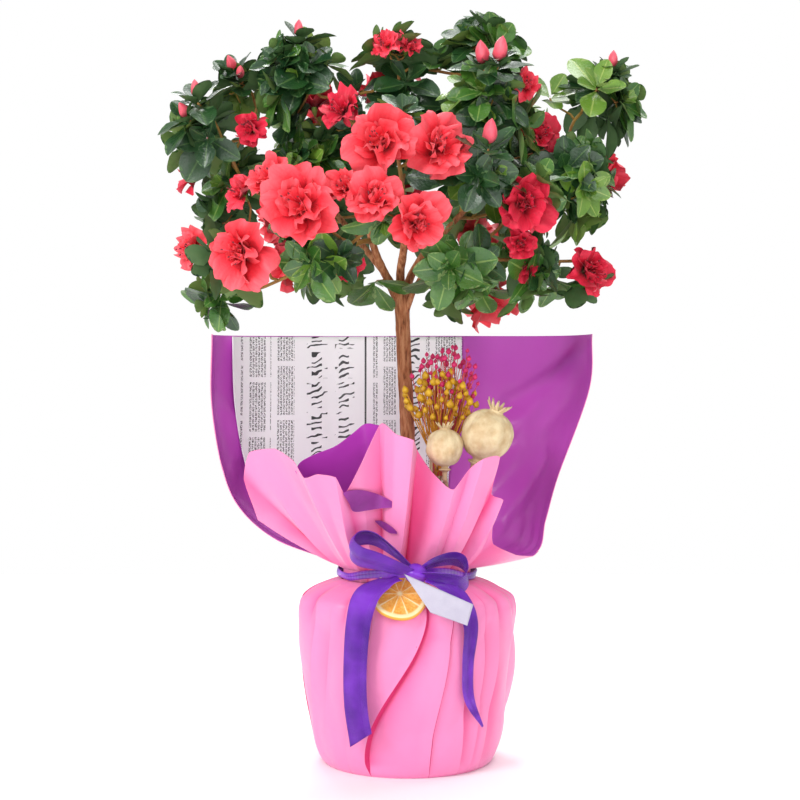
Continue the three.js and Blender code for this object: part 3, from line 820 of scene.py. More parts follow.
def leafMaterial(tone):
    first, other, rib, under = leaf["skins"][tone]

    def tint(tree):
        aside = maths(tree, "ABSOLUTE", maths(tree, "SUBTRACT", measured(tree, "UV", "X"), 0.5))
        ground = mottled(first, other, 60.0, 0.85)(tree)
        return blended(tree, between(tree, aside, 0.045, 0.015, 0.7), ground, colour(*rib))
    top = finish("leaf_" + tone, tint, 0.32, noiseHeight(600.0), 0.0005, coat=0.4)
    return [top, finish("leaf_under_" + tone, mottled(under, other, 90.0, 0.45), 0.6)]


def petalMaterial(tone):
    edge, middle, throat = (colour(*c) for c in bloom["tones"][tone])

    def tint(tree):
        streaks = noiseOf(tree, stretched(tree, (14, 1.5, 1), "UV"), 1.0, 2.0)
        uneven = maths(tree, "MULTIPLY_ADD", streaks, 0.34, -0.17)
        share = maths(tree, "ADD", measured(tree, "UV", "Y"), uneven)
        # painted shade deep in the throat, the petal's own colour in the middle, and painted light towards
        # the edge
        return tones(tree, share, [(0.16, throat), (0.55, middle), (0.94, edge)])
    return finish("petal_" + tone, tint, 0.5, noiseHeight(420.0), 0.0005, sheen=0.1, specular=0.35)


leafMasses = [name for name in masses if not name.startswith("bloom")]
bloomMasses = [name for name in masses if name.startswith("bloom")]
for tone, shape in leafShapes.items():
    shape.piece("leaves_" + tone, leafMaterial(tone), "leaf", leafMasses if tone == "dark" else ())
for tone, shape in bloomShapes.items():
    shape.piece("blooms_" + tone, [petalMaterial(tone)], "bloom", bloomMasses if tone == "coral" else ())
stamens = [finish("filament", colour(236, 96, 120), 0.5), finish("anther", colour(120, 40, 50), 0.7)]
stamenShape.piece("stamens", stamens, "bloom")
budSkin = finish("bud", mottled((246, 104, 120), (226, 62, 88), 160.0, 0.8), 0.45)
budShape.piece("buds", [budSkin], "bloom")
cupSkin = finish("flower_cup", mottled((110, 150, 60), (150, 110, 60), 200.0, 0.6), 0.5)
greenShape.piece("flower_cups", [cupSkin], "leaf")
youngBark = finish("young_bark", mottled((150, 96, 52), (176, 140, 62), 60.0, 0.9), 0.7,
                   noiseHeight(600.0, (1, 1, 0.3)), 0.0005)
twigShape.piece("twigs", [youngBark], "bark")


# Pink paper round the pot: a skirt of overlapping pleats, drawn in at the neck

skirt = {
    "profile": [(63, 0.3), (66.5, 5), (71.5, 20), (76.5, 48), (80.5, 84), (81, 108), (80, 119), (76.5, 126),
                (62, 133.5), (49.5, 137.5)],
    # bearing at the shoulder and at the foot, step at the top, middle and foot, swell of the paper after it
    "creases": [(214, 200, 0.5, 1.0, 0.5, -0.3), (227, 215, 0.25, 0.5, 0.1, 0.25),
                (252, 231, 0.1, 0.15, 0.1, 0.3), (281, 246, -1.0, -1.0, -0.9, -0.2),
                (294, 284, -0.45, -0.35, -0.5, 0.2), (300, 304, -0.3, -1.0, -0.7, -0.3),
                (315, 313, -1.0, -0.8, -0.4, 0.3), (326, 321, -0.4, -1.0, -0.5, -0.3)],
    "behind": 13,           # pleats round the side and back
    "drop": 1.5,            # degrees over which the deepest pleat falls to the next one
    "depth": 4.6 * mm,
    "crumple": 7 * mm,
    "tuck": 4.6 * mm,       # depth of the gathers at the shoulder
    "thickness": 0.35 * mm,
    "columns": 13,
    "rows": 64,
    "seed": 12,
}


def skirtPiece():
    dice = random.Random(skirt["seed"])
    creases = [list(crease) for crease in skirt["creases"]]
    first, last = creases[0][0], creases[-1][0]
    gap = (360 + first - last) / (skirt["behind"] + 1)
    for i in range(skirt["behind"]):
        bearing = last + gap * (i + 1 + dice.uniform(-0.28, 0.28))
        side = -1 if bearing % 180 > 90 else 1
        foot = bearing + dice.uniform(-14, 8)
        edges = [side * dice.uniform(low, high) for low, high in ((0.1, 0.9), (0.3, 1.0), (0.1, 0.8))]
        creases.append([bearing, foot, *edges, dice.uniform(-0.5, 0.4)])
    outline = curve(upright(skirt["profile"]) * mm, skirt["rows"])
    outline = np.vstack([np.array([[2, 0, 0.2], [40, 0, 0.2], [60, 0, 0.2]]) * mm, outline])
    heights = outline[:, 2]
    low = 1 - ramp(heights, 0.010, 0.120)
    fade = ramp(heights, 0.0, 0.012) * (1 - 0.5 * ramp(heights, 0.128, 0.137))
    steps = [np.interp(heights, [0.008, 0.060, 0.112], crease[4:1:-1]) * fade for crease in creases]
    columns, valleyShade, folds = [], [], []
    for i, crease in enumerate(creases):
        after = list(creases[(i + 1) % len(creases)])
        if i == len(creases) - 1:
            after[0], after[1] = after[0] + 360, after[1] + 360
        mine, its = steps[i], steps[(i + 1) % len(steps)]
        start = mix(crease[0], crease[1], low)
        end = mix(after[0], after[1], low) - skirt["drop"] * (0.15 + np.abs(its))
        for share in evenly(skirt["columns"]):
            lift = 0.5 * mine * (1 - share) ** 1.7 - 0.5 * its * share ** 1.9
            lift = lift + crease[5] * np.sin(math.pi * share ** 0.9) ** 1.4 * 0.55 * fade
            turn = np.radians(mix(start, end, share))
            columns.append(polar(outline[:, 0] + lift * skirt["depth"], turn, heights))
            # painted light and shade: paler where the paper stands out before a crease, darker where it sinks
            # after it
            valleyShade.append(0.38 + 0.62 * np.clip(-2 * lift, 0, 1) ** 2 - 0.35 * np.clip(2 * lift, 0, 1))
            # the faces where one pleat drops to the next take the second material, painted shade
            folds.append(share == 1)
    grid, valleyShade = np.array(columns + columns[:1]), np.array(valleyShade + valleyShade[:1])
    z = grid[..., 2]
    soft = lumps(grid * np.array([1, 1, 0.5]), 30.0, 1.0 * mm, 2.2) * ramp(z, 0.004, 0.03)
    crisp = np.abs(lumps(grid * np.array([1, 1, 0.7]), 21.0, 1.0, 7.7)) - 0.3
    soft = soft + crisp * skirt["crumple"] * ramp(z, 0.004, 0.04) * (1 - ramp(z, 0.122, 0.134))
    bearing = np.arctan2(grid[..., 1], grid[..., 0])
    tuck = np.abs(np.sin(bearing * 9.5 + 1.3 * np.sin(bearing * 4 + 1))) ** 0.7 - 0.6
    tuck = tuck * skirt["tuck"] * ramp(z, 0.100, 0.124) * (1 - 0.5 * ramp(z, 0.131, 0.137))
    grid = grid - inwards(grid) * (soft + tuck)[..., None]
    grid[..., 2] = np.maximum(grid[..., 2], 0.2 * mm)
    # the gathers at the shoulder move the painted shade too: paler where they stand out
    valleyShade = np.clip(valleyShade - tuck / (8 * mm), 0, 1)
    spread = paired(evenly(len(grid))[:, None], valleyShade)
    chosen = np.repeat(folds, grid.shape[1] - 1)
    return Shape().shell(grid, skirt["thickness"], (0, 1), spread, chosen)


def inwards(grid):
    flat = grid * np.array([1, 1, 0])
    return -flat / (np.linalg.norm(flat, axis=2, keepdims=True) + 1e-9)


def foldShading(light, deep, scale=26.0, crease=None):
    # painted light, paler on the swells, and painted shade, darker in the folds, whose depth is the map's
    # second place; a crease colour adds a thin painted shadow line at the bottom of the deepest folds
    def tint(tree):
        depth = measured(tree, "UV", "Y")
        bend = noiseOf(tree, stretched(tree, (1, 1, 0.35)), scale, 1.5)
        uneven = maths(tree, "ADD", depth, maths(tree, "MULTIPLY_ADD", bend, 0.9, -0.45))
        share = between(tree, uneven, 0.36, 1.05, curve="SMOOTHSTEP")
        folded = blended(tree, share, colour(*light), colour(*deep))
        if not crease:
            return folded
        return blended(tree, between(tree, depth, 0.84, 1.0, 0.9, "SMOOTHSTEP"), folded, colour(*crease))
    return tint


def paperHeight(scale, fine):
    return lambda tree: use(tree, crinkle, {"Scale": scale, "Fine": fine})["Height"]


# pink paper: a paler pink painted light on the swells, a darker pink painted shade in the folds, and the
# darkest pink a painted shadow line in the creases
pinkPaper = finish("pink_paper", foldShading((244, 136, 188), (238, 84, 150), crease=(206, 34, 100)), 0.42,
                   paperHeight(30.0, 0.12), 0.0016, sheen=0.15)
# deep pink painted on the faces where one pleat drops to the next: painted shade in the folds
pinkFoldShade = finish("pink_fold_shade", mottled((216, 44, 112), (196, 28, 92), 40.0, 0.6), 0.5)
# purple paper: a paler purple painted light on the swells and a darker purple painted shade in the folds
purplePaper = finish("purple_paper", foldShading((210, 88, 206), (176, 52, 174), 14.0), 0.34,
                     paperHeight(22.0, 0.10), 0.0018, coat=0.15)
skirtPiece().piece("paper_skirt", [pinkPaper, pinkFoldShade], "pink_paper", ["pot_wrap"], crease=32)


# Collar behind: a sheet pink outside and purple inside, round from the right side to the left one

collar = {
    "left": [(48, 131), (49, 147), (98, 166), (128, 192), (141, 222), (150, 272), (150, 322)],
    "back": [(48, 131), (49, 147), (62, 172), (70, 204), (75, 240), (79, 282), (80, 324)],
    "right": [(48, 131), (49, 147), (96, 155), (106, 181), (116, 215), (139, 280), (142, 322)],
    "thickness": 0.5 * mm,
    "rows": 56,
    "ridges": [  # line through X and Z, half width, height inwards, in mm
        ([(83, 270), (117, 290), (142, 309)], 9, 5.0),
        ([(70, 176), (88, 200), (106, 226)], 11, -6.0),
        ([(96, 250), (122, 268), (138, 276)], 12, -4.0),
        ([(64, 214), (86, 240), (108, 262)], 9, 3.0),
        ([(-146, 268), (-132, 250), (-118, 232)], 10, 4.5),
        ([(-128, 206), (-118, 232), (-126, 282)], 11, -4.0),
    ],
}


def collarPoint(bearing, v, inset=0.0):
    turn = math.radians(bearing)
    outer = collar["right" if math.cos(turn) > 0 else "left"]
    side, back = (throughPoints(upright(line) * mm, v) for line in (outer, collar["back"]))
    behind = math.sin(turn) ** 2
    return np.stack([(side[:, 0] - inset) * math.cos(turn), (back[:, 0] - inset) * math.sin(turn),
                     mix(side[:, 2], back[:, 2], behind)], axis=1)


def ridged(grid):
    # folds along lines seen from the front, on the side sheets only
    moved = np.zeros(grid.shape[:2])
    reached = ramp(np.abs(grid[..., 0]), 0.045, 0.075)
    for line, half, height in collar["ridges"]:
        near = np.full(grid.shape[:2], 9.0)
        for a, b in zip(np.array(line) * mm, np.array(line[1:]) * mm):
            flat = grid[..., [0, 2]] - a
            share = np.clip((flat @ (b - a)) / ((b - a) @ (b - a)), 0, 1)
            near = np.minimum(near, np.linalg.norm(flat - share[..., None] * (b - a), axis=2))
        near = np.hypot(near, 1.8 * mm) - 1.8 * mm
        tent = np.clip(1 - near / (half * mm), 0, 1) ** 1.2
        moved += tent * height * mm * reached * ramp(grid[..., 1], 0.002, 0.035)
    return moved


v = evenly(collar["rows"])
bearings = evenly(150, -3, 183)
collarGrid = np.array([collarPoint(bearing, v) for bearing in bearings])
swell = np.sin(np.radians(bearings) * 6.0)[:, None] * ramp(v, 0.15, 0.9) * 2.2 * mm
pleated = np.sin(np.radians(bearings) * 31)[:, None] * (1 - ramp(v, 0.05, 0.6)) * 1.8 * mm
crumpled = (np.abs(lumps(collarGrid, 11.0, 1.0, 3.3)) - 0.3) * 3.0 * mm
shift = ridged(collarGrid) + swell + pleated + lumps(collarGrid, 16.0, 1.6 * mm, 5.0) + crumpled
collarGrid = collarGrid + inwards(collarGrid) * (shift + 1.0 * mm)[..., None]
# painted shade following the folds: the colour darkens the further a point is moved inwards
collarShade = paired(v, np.clip(0.35 + shift / (10 * mm), 0, 1))
collarShape = Shape().shell(collarGrid, collar["thickness"], (0, 1), collarShade)
collarShape.piece("collar_sheet", [pinkPaper, purplePaper], "purple_paper", ["collar_back"], crease=34)


# Newsprint lining: rows of small marks and two broad ones that only look like print

newsprint = {
    "from": 71, "to": 158, "low": 0.45, "high": 0.997, "inset": 4.6 * mm,
    "thickness": 0.35 * mm,
    "left": -0.140, "right": 0.050,
    # where each kind of mark starts between left and right
    "marks": [(0.0, "bare"), (0.05, "small"), (0.15, "bare"), (0.165, "small"), (0.262, "bare"),
              (0.315, "stems"), (0.333, "broad"), (0.376, "stems"), (0.400, "bare"),
              (0.430, "stems"), (0.448, "broad"), (0.491, "stems"), (0.515, "bare"), (0.558, "line"),
              (0.566, "bare"), (0.590, "small"), (0.690, "bare"), (0.74, "broad"), (0.79, "bare"),
              (0.82, "small")],
    "kinds": {"bare": (0, 0, 0, 1), "small": (1, 0, 0, 1), "stems": (0, 0.5, 0, 1),
              "broad": (0, 1, 0, 1), "line": (0, 0, 1, 1)},
}
turns = evenly(90, newsprint["from"], newsprint["to"])
levels = evenly(34, newsprint["low"], newsprint["high"])
liningGrid = np.array([collarPoint(b, levels, newsprint["inset"]) for b in turns])
liningShift = lumps(liningGrid, 14.0, 1.6 * mm, 9.0) + np.sin(np.radians(turns) * 9)[:, None] * 0.8 * mm
liningGrid = liningGrid + inwards(liningGrid) * liningShift[..., None]
liningShape = Shape().shell(liningGrid, newsprint["thickness"], (0, 0))


def bricks(tree, place, joint, width, height, offset=0.5):
    # 1 inside each brick and 0 in the joints between them
    inputs = {"Vector": place, "Scale": 1.0, "Mortar Size": joint, "Brick Width": width,
              "Row Height": height, "Color1": white, "Color2": white, "Mortar": black}
    return put(tree, "ShaderNodeTexBrick", inputs, offset=offset).outputs["Color"]


def printTint(tree):
    across, level = measured(tree, "Object", "X"), measured(tree, "Object", "Z")
    lines = put(tree, "ShaderNodeCombineXYZ", {"X": level, "Y": across}).outputs[0]
    stops = [(at, newsprint["kinds"][kind]) for at, kind in newsprint["marks"]]
    fields = tones(tree, between(tree, across, newsprint["left"], newsprint["right"]), stops, "CONSTANT")
    kinds = put(tree, "ShaderNodeSeparateColor", {0: fields}).outputs
    small = maths(tree, "MULTIPLY", bricks(tree, lines, 0.00032, 0.0048, 0.0021, 0.37),
                  maths(tree, "GREATER_THAN", noiseOf(tree, lines, 1500.0, 1.0), 0.49))
    small = maths(tree, "MULTIPLY", small, bricks(tree, lines, 0.0022, 0.043, 0.021, 0.3))
    small = maths(tree, "MULTIPLY", small, kinds[0])
    slanted = put(tree, "ShaderNodeMapping", {"Vector": lines, "Rotation": (0, 0, 0.32)}).outputs[0]
    strokes = put(tree, "ShaderNodeTexWave", {"Vector": slanted, "Scale": 66.0, "Distortion": 7.5,
                                              "Detail": 1.0, "Detail Scale": 1.4}).outputs["Fac"]
    broad = maths(tree, "MULTIPLY", maths(tree, "GREATER_THAN", strokes, 0.74),
                  bricks(tree, lines, 0.0016, 0.024, 0.2))
    rows = put(tree, "ShaderNodeCombineXYZ", {"X": level}).outputs[0]
    tall = maths(tree, "GREATER_THAN", noiseOf(tree, rows, 110.0, 0.0), 0.56)
    reached = maths(tree, "GREATER_THAN", maths(tree, "MULTIPLY_ADD", tall, 0.45, kinds[1]), 0.9)
    broad = maths(tree, "MULTIPLY", broad, reached)
    ink = maths(tree, "MAXIMUM", maths(tree, "MAXIMUM", small, broad), kinds[2])
    return blended(tree, ink, colour(254, 254, 255), colour(40, 40, 44))


newsPaper = finish("newsprint", printTint, 0.38, paperHeight(24.0, 0.05), 0.0012, coat=0.2)
liningShape.piece("newsprint_lining", [newsPaper], "newsprint", ["newsprint_sheet"])


# Ruffles in front: folds that fan out from the neck to an uneven edge

ruffle = {
    "rays": [  # bearing at the neck, then the edge's X, Y and Z
        (186, -112, -12, 182), (190, -120, -36, 214), (196, -115, -50, 234), (202, -95, -66, 237),
        (208, -81, -78, 229), (213, -73, -86, 217), (219, -63, -92, 220), (226, -50, -97, 218),
        (232, -44, -86, 206), (240, -33, -86, 226), (247, -20, -80, 254), (251, -16, -86, 255),
        (256, -8, -93, 248), (262, 4, -93, 244), (266, 7, -64, 236), (272, 16, -66, 222),
        (280, 27, -78, 211), (286, 33, -82, 209), (292, 44, -85, 224), (298, 53, -93, 231),
        (304, 65, -85, 232), (310, 60, -72, 205), (316, 68, -80, 201), (322, 61, -68, 182),
        (328, 62, -60, 168), (336, 80, -38, 158), (344, 94, -16, 155), (352, 100, 0, 157),
    ],
    "columns": 5,         # between one ray and the next
    "rows": 46,
    "bow": 0.80,
    "neck": (48, 132, 146),   # distance out, lowest and highest point
    "neckShare": 0.16,        # share of each column that stands in the neck
    "thickness": 0.5 * mm,
    # slits that open on the purple side: lower edge, then upper edge, as X and Z
    "slits": [([(-45, 206), (-41, 199), (-38, 193), (-28, 193.5), (-20, 194.5), (-11, 195.5)],
               [(-45, 207), (-40, 208.5), (-32, 208.3), (-24, 206), (-17, 203), (-11, 200)]),
              ([(-23, 184.5), (-18, 180), (-13, 177), (-7.5, 176.5)],
               [(-23, 185.5), (-18, 185), (-12, 182), (-7.5, 178)])],
    # edge of the inner fold, left of the middle, that shows its purple side
    "innerEdge": [(-80, -72, 221), (-76, -70, 228), (-64, -69, 234), (-51, -68, 239), (-39, -68, 248),
                  (-30, -70, 255), (-20, -76, 254)],
    "fold": 3.4,          # how far the folds stand in and out below the edge, in mm
}


def ruffleTurn(three):
    # 1 where a ray stands in front of its two neighbours, -1 where it stands behind them
    (_, x0, y0, _), (_, x1, y1, _), (_, x2, y2, _) = three
    level = y0 + (y2 - y0) * (x1 - x0) / (x2 - x0 if abs(x2 - x0) > 1 else 1)
    return float(np.clip((level - y1) / 9, -1, 1))


def rufflePiece():
    rays = np.array(ruffle["rays"], float)
    wide = (len(rays) - 1) * ruffle["columns"]
    steps = evenly(wide + 1)
    places, numbers = steps * (len(rays) - 1), np.arange(len(rays))
    straight = np.stack([np.interp(places, numbers, ray) for ray in rays.T], 1)
    smooth = np.hstack([throughPoints(rays[:, [0, 0, 0]], steps)[:, :1], throughPoints(rays[:, 1:], steps)])
    sharp = [0.0] + [ruffleTurn(rays[k - 1:k + 2]) for k in range(1, len(rays) - 1)] + [0.0]
    sharp = np.interp(places, numbers, sharp)
    rays = mix(straight, smooth, 0.5)
    radius, low, high = ruffle["neck"]
    v = evenly(ruffle["rows"])
    neckShare = ruffle["neckShare"]
    out = np.clip((v - neckShare) / (1 - neckShare), 0, 1)
    grid = []
    for i, (bearing, x, y, z) in enumerate(rays):
        neck = compass(math.radians(bearing)) * (radius + 1.6 * sharp[i])
        spread = out ** ruffle["bow"]
        place = neck[None, :] * (1 - spread[:, None]) + np.array([x, y, 0])[None, :] * spread[:, None]
        place[:, 2] = np.where(v < neckShare, low + (high - low) * v / neckShare, high + (z - high) * out)
        grid.append(place)
    grid = np.array(grid) * mm
    swing = sharp[:, None] * np.sin(math.pi * np.clip(out, 0, 1) ** 0.7)[None, :] * ruffle["fold"] * mm
    grid = grid - inwards(grid) * (swing + lumps(grid, 30.0, 0.9 * mm, 4.0))[..., None]
    # painted shade: folds that stand behind their neighbours take the darker pink, most of all near the neck,
    # and those in front the paler
    ruffleShade = np.clip(0.42 - 0.55 * sharp[:, None] * (1.2 - 0.5 * out[None, :]), 0, 1)
    shape = Shape().shell(grid, ruffle["thickness"], (0, 1), paired(steps[:, None], ruffleShade))
    front = grid[grid[..., 1] < -0.035].reshape(-1, 3)
    for lower, upper in ruffle["slits"]:
        below, above = (curve(upright(edge), 26) for edge in (lower, upper))
        patch = np.array([[mix(a, b, share) for share in evenly(8)] for a, b in zip(below, above)]) * mm
        for place in patch.reshape(-1, 3):
            apart = np.hypot(front[:, 0] - place[0], front[:, 2] - place[2])
            place[1] = front[np.argsort(apart)[:9], 1].min() - 0.7 * mm
        for _ in range(12):
            near = np.pad(patch[..., 1], 1, mode="edge")
            patch[..., 1] = (near[:-2, 1:-1] + near[2:, 1:-1] + near[1:-1, :-2] + near[1:-1, 2:]) / 4
        # each slit is a thin patch in a darker purple: painted shade inside it
        shape.shell(patch[:, ::-1], 0.2 * mm, (2, 2))
    edge = curve(np.array(ruffle["innerEdge"]) * mm, 40)
    inner = []
    for point, turn in zip(edge, np.radians(evenly(40, 213, 246))):
        neck, t = compass(turn) * 42 * mm + up * high * mm, evenly(24)[:, None]
        inner.append(neck * (1 - t) + point * t + np.array([0, 6 * mm, 0]) * np.sin(math.pi * t))
    inner = np.array(inner)
    inner = inner + inwards(inner) * lumps(inner, 24.0, 2.0 * mm, 6.0)[..., None]
    return shape.shell(inner, 0.4 * mm, (1, 1))


# darker purple for the slits: painted shade inside them, over the paper's own purple side
purpleShade = finish("purple_shade", mottled((150, 46, 150), (98, 18, 100), 34.0, 0.9), 0.5)
rufflePiece().piece("collar_ruffles", [pinkPaper, purplePaper, purpleShade], "pink_paper",
                    ["collar_front"], crease=26)


# Satin ribbon: a band round the neck, two loops, a knot and two tails

ribbon = {
    "knot": np.array([6, -78, 149]),
    "knotHalf": (8.4, 6.6, 6.8),
    "thickness": 0.45 * mm,
    "band": 52.0,            # distance out and height of the band's lowest lap
    "bandHeight": 140.5,
    "laps": [(0, 0.0, 0.0), (1.8, 0.9, 1.7)],   # height above, distance outside, turn of its folds
    "leftLoop": [(-3, -3, 1, 7), (-14, -8, 5, 13), (-28, -10, 10, 18), (-39, -8, 13, 20), (-45, -1, 18, 20),
                 (-41, 5, 24, 18), (-30, 6, 24, 15), (-16, 3, 15, 10), (-3, 0, 4, 5)],   # X, Y, Z, width
    "rightLoop": [(3, -3, -1, 7), (13, -8, -2, 13), (24, -10, -4, 17), (32, -8, -6, 19), (37, -1, -2, 19),
                  (35, 5, 6, 17), (27, 6, 10, 14), (14, 3, 8, 10), (3, 0, 3, 5)],
    "leftAcross": (0.1, -0.70, 0.70),
    "rightAcross": (-0.1, -0.70, 0.70),
    "leftTail": [(-6, -80, 146, 9), (-17, -86, 143, 15), (-29, -90, 134, 19), (-34.5, -88, 116, 19),
                 (-37, -84.5, 84, 18.5), (-36.5, -83, 56, 18.5), (-33, -79, 31, 19)],
    "rightTail": [(14, -81, 146, 8), (27, -86, 141, 11), (38, -86, 131, 12), (45, -78, 112, 11.5),
                  (43, -76, 84, 9), (44, -75, 60, 8), (54, -66, 38, 1.5)],
}


def satinStrip(shape, path, acrosses, cut=0.0, steps=70, cup=0.10):
    path = np.array(path, float)
    shares = evenly(steps)
    line = throughPoints(path[:, :3] * mm, shares)
    width = throughPoints(path[:, [3, 3, 3]], shares)[:, 0] * mm
    across = throughPoints(np.array(acrosses, float), shares)
    along = np.gradient(line, axis=0)
    along /= np.linalg.norm(along, axis=1, keepdims=True)
    across = across - along * np.sum(across * along, axis=1, keepdims=True)
    across /= np.linalg.norm(across, axis=1, keepdims=True)
    out = np.cross(across, along)
    grid = []
    for place in evenly(11, -1):
        swell = cup * (1 - place * place) + 0.03 * math.sin(place * 5)
        column = line + across * (width * place / 2)[:, None] + out * (width * swell)[:, None]
        grid.append(column + along * (place * cut * mm * ramp(shares, 0.85, 1.0))[:, None])
    run = np.concatenate([[0], np.cumsum(np.linalg.norm(np.diff(line, axis=0), axis=1))])
    shape.shell(np.array(grid), ribbon["thickness"], (0, 0), meshed(evenly(11), run * 10))


def weave(tree):
    inputs = {"Vector": coordinates(tree, "UV"), "Scale": 34.0, "Distortion": 0.6}
    threads = put(tree, "ShaderNodeTexWave", inputs, bands_direction="X").outputs["Fac"]
    return maths(tree, "ADD", threads, noiseOf(tree, stretched(tree), 900.0, 2.0))


# the paler purple of the mottle is painted satin sheen, in patches over the ribbon's own purple
satin = finish("purple_satin_painted_sheen", mottled((84, 14, 152), (144, 58, 222), 30.0, 0.9), 0.30, weave, 0.00012,
               coat=0.05)
knot = ribbon["knot"]
loops, tails = Shape(), Shape()
for side in ("left", "right"):
    path = [(*(knot + p[:3]), p[3]) for p in np.array(ribbon[side + "Loop"], float)]
    satinStrip(loops, path, [ribbon[side + "Across"]] * len(path))
loops.piece("bow_loops", [satin], "ribbon", ["bow_loop_left", "bow_loop_right"])
sideways = [unit((-p[1] if abs(p[0]) > 20 else 60, p[0], 0)) for p in ribbon["leftTail"]]
satinStrip(tails, ribbon["leftTail"], sideways, cut=-5.5, steps=110, cup=0.05)
sideways = [unit((-p[1], p[0], 0)) for p in ribbon["rightTail"]]
satinStrip(tails, ribbon["rightTail"], sideways, steps=100, cup=0.06)
tails.piece("ribbon_tails", [satin], "ribbon", ["ribbon_tail_left", "ribbon_tail_right"])

bandShape = Shape()
turns = evenly(121, 0, 2 * math.pi)
for lift, outset, wave in ribbon["laps"]:
    band = []
    for edge in evenly(7, -1):
        fold = 1 - 0.55 * ramp(np.abs(np.sin(turns * 1.5 + wave)), 0.2, 1.0)
        reach = ribbon["band"] + outset * 0.6 + 0.5 * (1 - edge * edge) + 0.4 * np.sin(turns * 7 + edge)
        reach = reach * mm
        front = 25 * mm * ramp(-np.sin(turns), 0.62, 1.0)
        height = ribbon["bandHeight"] + lift + edge * 2.9 * fold + 7.5 * ramp(-np.sin(turns), 0.55, 1.0)
        place = [reach * np.cos(turns), (reach + front) * np.sin(turns), height * mm]
        band.append(np.stack(place, axis=1))
    bandShape.shell(np.array(band).transpose(1, 0, 2), ribbon["thickness"], (0, 0))
bandShape.piece("neck_band", [satin], "ribbon", ["ribbon_band"])

knotShape = Shape()
rows, sides = 16, 28
tilt, turn = np.meshgrid(evenly(rows, 0.02, math.pi - 0.02), around(sides))
folds = 1 + 0.10 * np.cos(turn * 5 + tilt * 2) + 0.06 * np.sin(turn * 11)
wide, deep, tall = ribbon["knotHalf"]
ball = np.dstack([wide * np.cos(tilt), deep * np.sin(tilt) * np.cos(turn) * folds,
                  tall * np.sin(tilt) * np.sin(turn) * folds]) * mm
knotShape.add(knot * mm + ball, gridFaces(sides, rows, closed=True)[:, ::-1])
for side in (-1, 1):
    tip = [knot * mm + np.array([side * x, 0, 0]) * mm for x in (7.5, 8.6, 9.2)]
    knotShape.tube(tip, np.array([2.2, 1.4, 0.4]) * mm, 10)
knotShape.piece("ribbon_knot", [satin], "ribbon", ["bow_knot"])


# Dried orange slice and the blank tag

orange = {
    "middle": (-5.5, -78, 134), "radius": 20.5, "thick": 3.4, "lean": 40, "segments": 10, "sides": 80,
    "rings": [0.02, 0.12, 0.3, 0.5, 0.7, 0.84, 0.90, 0.95, 0.985, 1.0],
    "sunk": 0.55,   # how far the flesh stands below the walls
    "warp": 0.9,
}


def slicePiece():
    sides, rings = orange["sides"], orange["rings"]
    turn = around(sides)
    warp = orange["warp"] * np.sin(turn * 2 + 0.6)
    front, spread = [], []
    for share in rings:
        reach = orange["radius"] * share * (1 + 0.012 * np.sin(turn * 5 + 1))
        part = (turn / (2 * math.pi) * orange["segments"]) % 1
        sunk = orange["sunk"] * np.sin(math.pi * part)
        sunk = sunk * ramp(share, 0.08, 0.3) * (1 - ramp(share, 0.80, 0.88))
        height = orange["thick"] / 2 - sunk - (1.5 * ramp(share, 0.965, 1.0) if share > 0.96 else 0)
        height = height + warp * share ** 2
        front.append(polar(reach, turn, height))
        spread.append(paired(turn / (2 * math.pi), share))
    back = []
    for share, ring in zip(rings[::-1], front[::-1]):
        height = warp * share ** 2 - orange["thick"] / 2 + (1.4 if share > 0.99 else 0)
        back.append(ring * np.array([1, 1, 0]) + up * height[:, None])
    grid = np.array(front + back).transpose(1, 0, 2)
    spread = np.array(spread + spread[::-1]).transpose(1, 0, 2)
    lean = math.radians(orange["lean"])
    normal = np.array([0, -math.cos(lean), math.sin(lean)])
    axes = np.array([[1, 0, 0], np.cross(normal, [1, 0, 0]), normal])
    points = np.array(orange["middle"]) * mm + (grid * mm) @ axes
    return Shape().add(points, closedFaces(sides, grid.shape[1]), spread)


def sliceTint(tree):
    reach = measured(tree, "UV", "Y")
    many = maths(tree, "MULTIPLY", measured(tree, "UV", "X"), float(orange["segments"]))
    walls = between(tree, maths(tree, "PINGPONG", many, 0.5), 0.10, 0.02)
    pale = maths(tree, "MAXIMUM", walls, between(tree, reach, 0.14, 0.05))
    pale = maths(tree, "MAXIMUM", pale, tones(tree, reach, [(0.80, black), (0.86, white)]))
    flecks = spots(tree, stretched(tree), 620.0)
    flesh = blended(tree, flecks, colour(250, 192, 92), colour(240, 146, 42))
    cut = blended(tree, pale, flesh, colour(252, 228, 172))
    return blended(tree, between(tree, reach, 0.95, 0.975), cut, colour(240, 168, 56))


citrus = finish("dried_citrus", sliceTint, 0.42, noiseHeight(500.0), 0.0005, coat=0.15)
slicePiece().piece("dried_orange", [citrus], "dried_orange", ["orange_slice"])

tag = {
    "corner": (-22.5, 18.4), "lower": (-4, -8.6), "far": (21.6, -17.7), "upper": (26, -3),
    "middle": (20, -92, 132), "lean": 78, "bend": 1.6, "thickness": 0.5 * mm,
}
across, along = np.meshgrid(evenly(24), evenly(14), indexing="ij")
above = mix(tag["corner"], tag["upper"], across[..., None])
below = mix(tag["lower"], tag["far"], across[..., None])
card = np.dstack([mix(below, above, along[..., None]), tag["bend"] * (0.25 - (across - 0.5) ** 2)])
card = (np.array(tag["middle"]) + card @ tipped(math.radians(tag["lean"])).T) * mm
tagShape = Shape().shell(card, tag["thickness"], (0, 0))
lilacCard = finish("lilac_card", mottled((192, 187, 203), (178, 172, 192), 90.0, 0.8), 0.45,
                   noiseHeight(900.0), 0.0002)
tagShape.piece("blank_tag", [lilacCard], "card", ["gift_tag"])


# Dried posy: ribbed poppy heads, two sprays of small berries and a bundle of stems

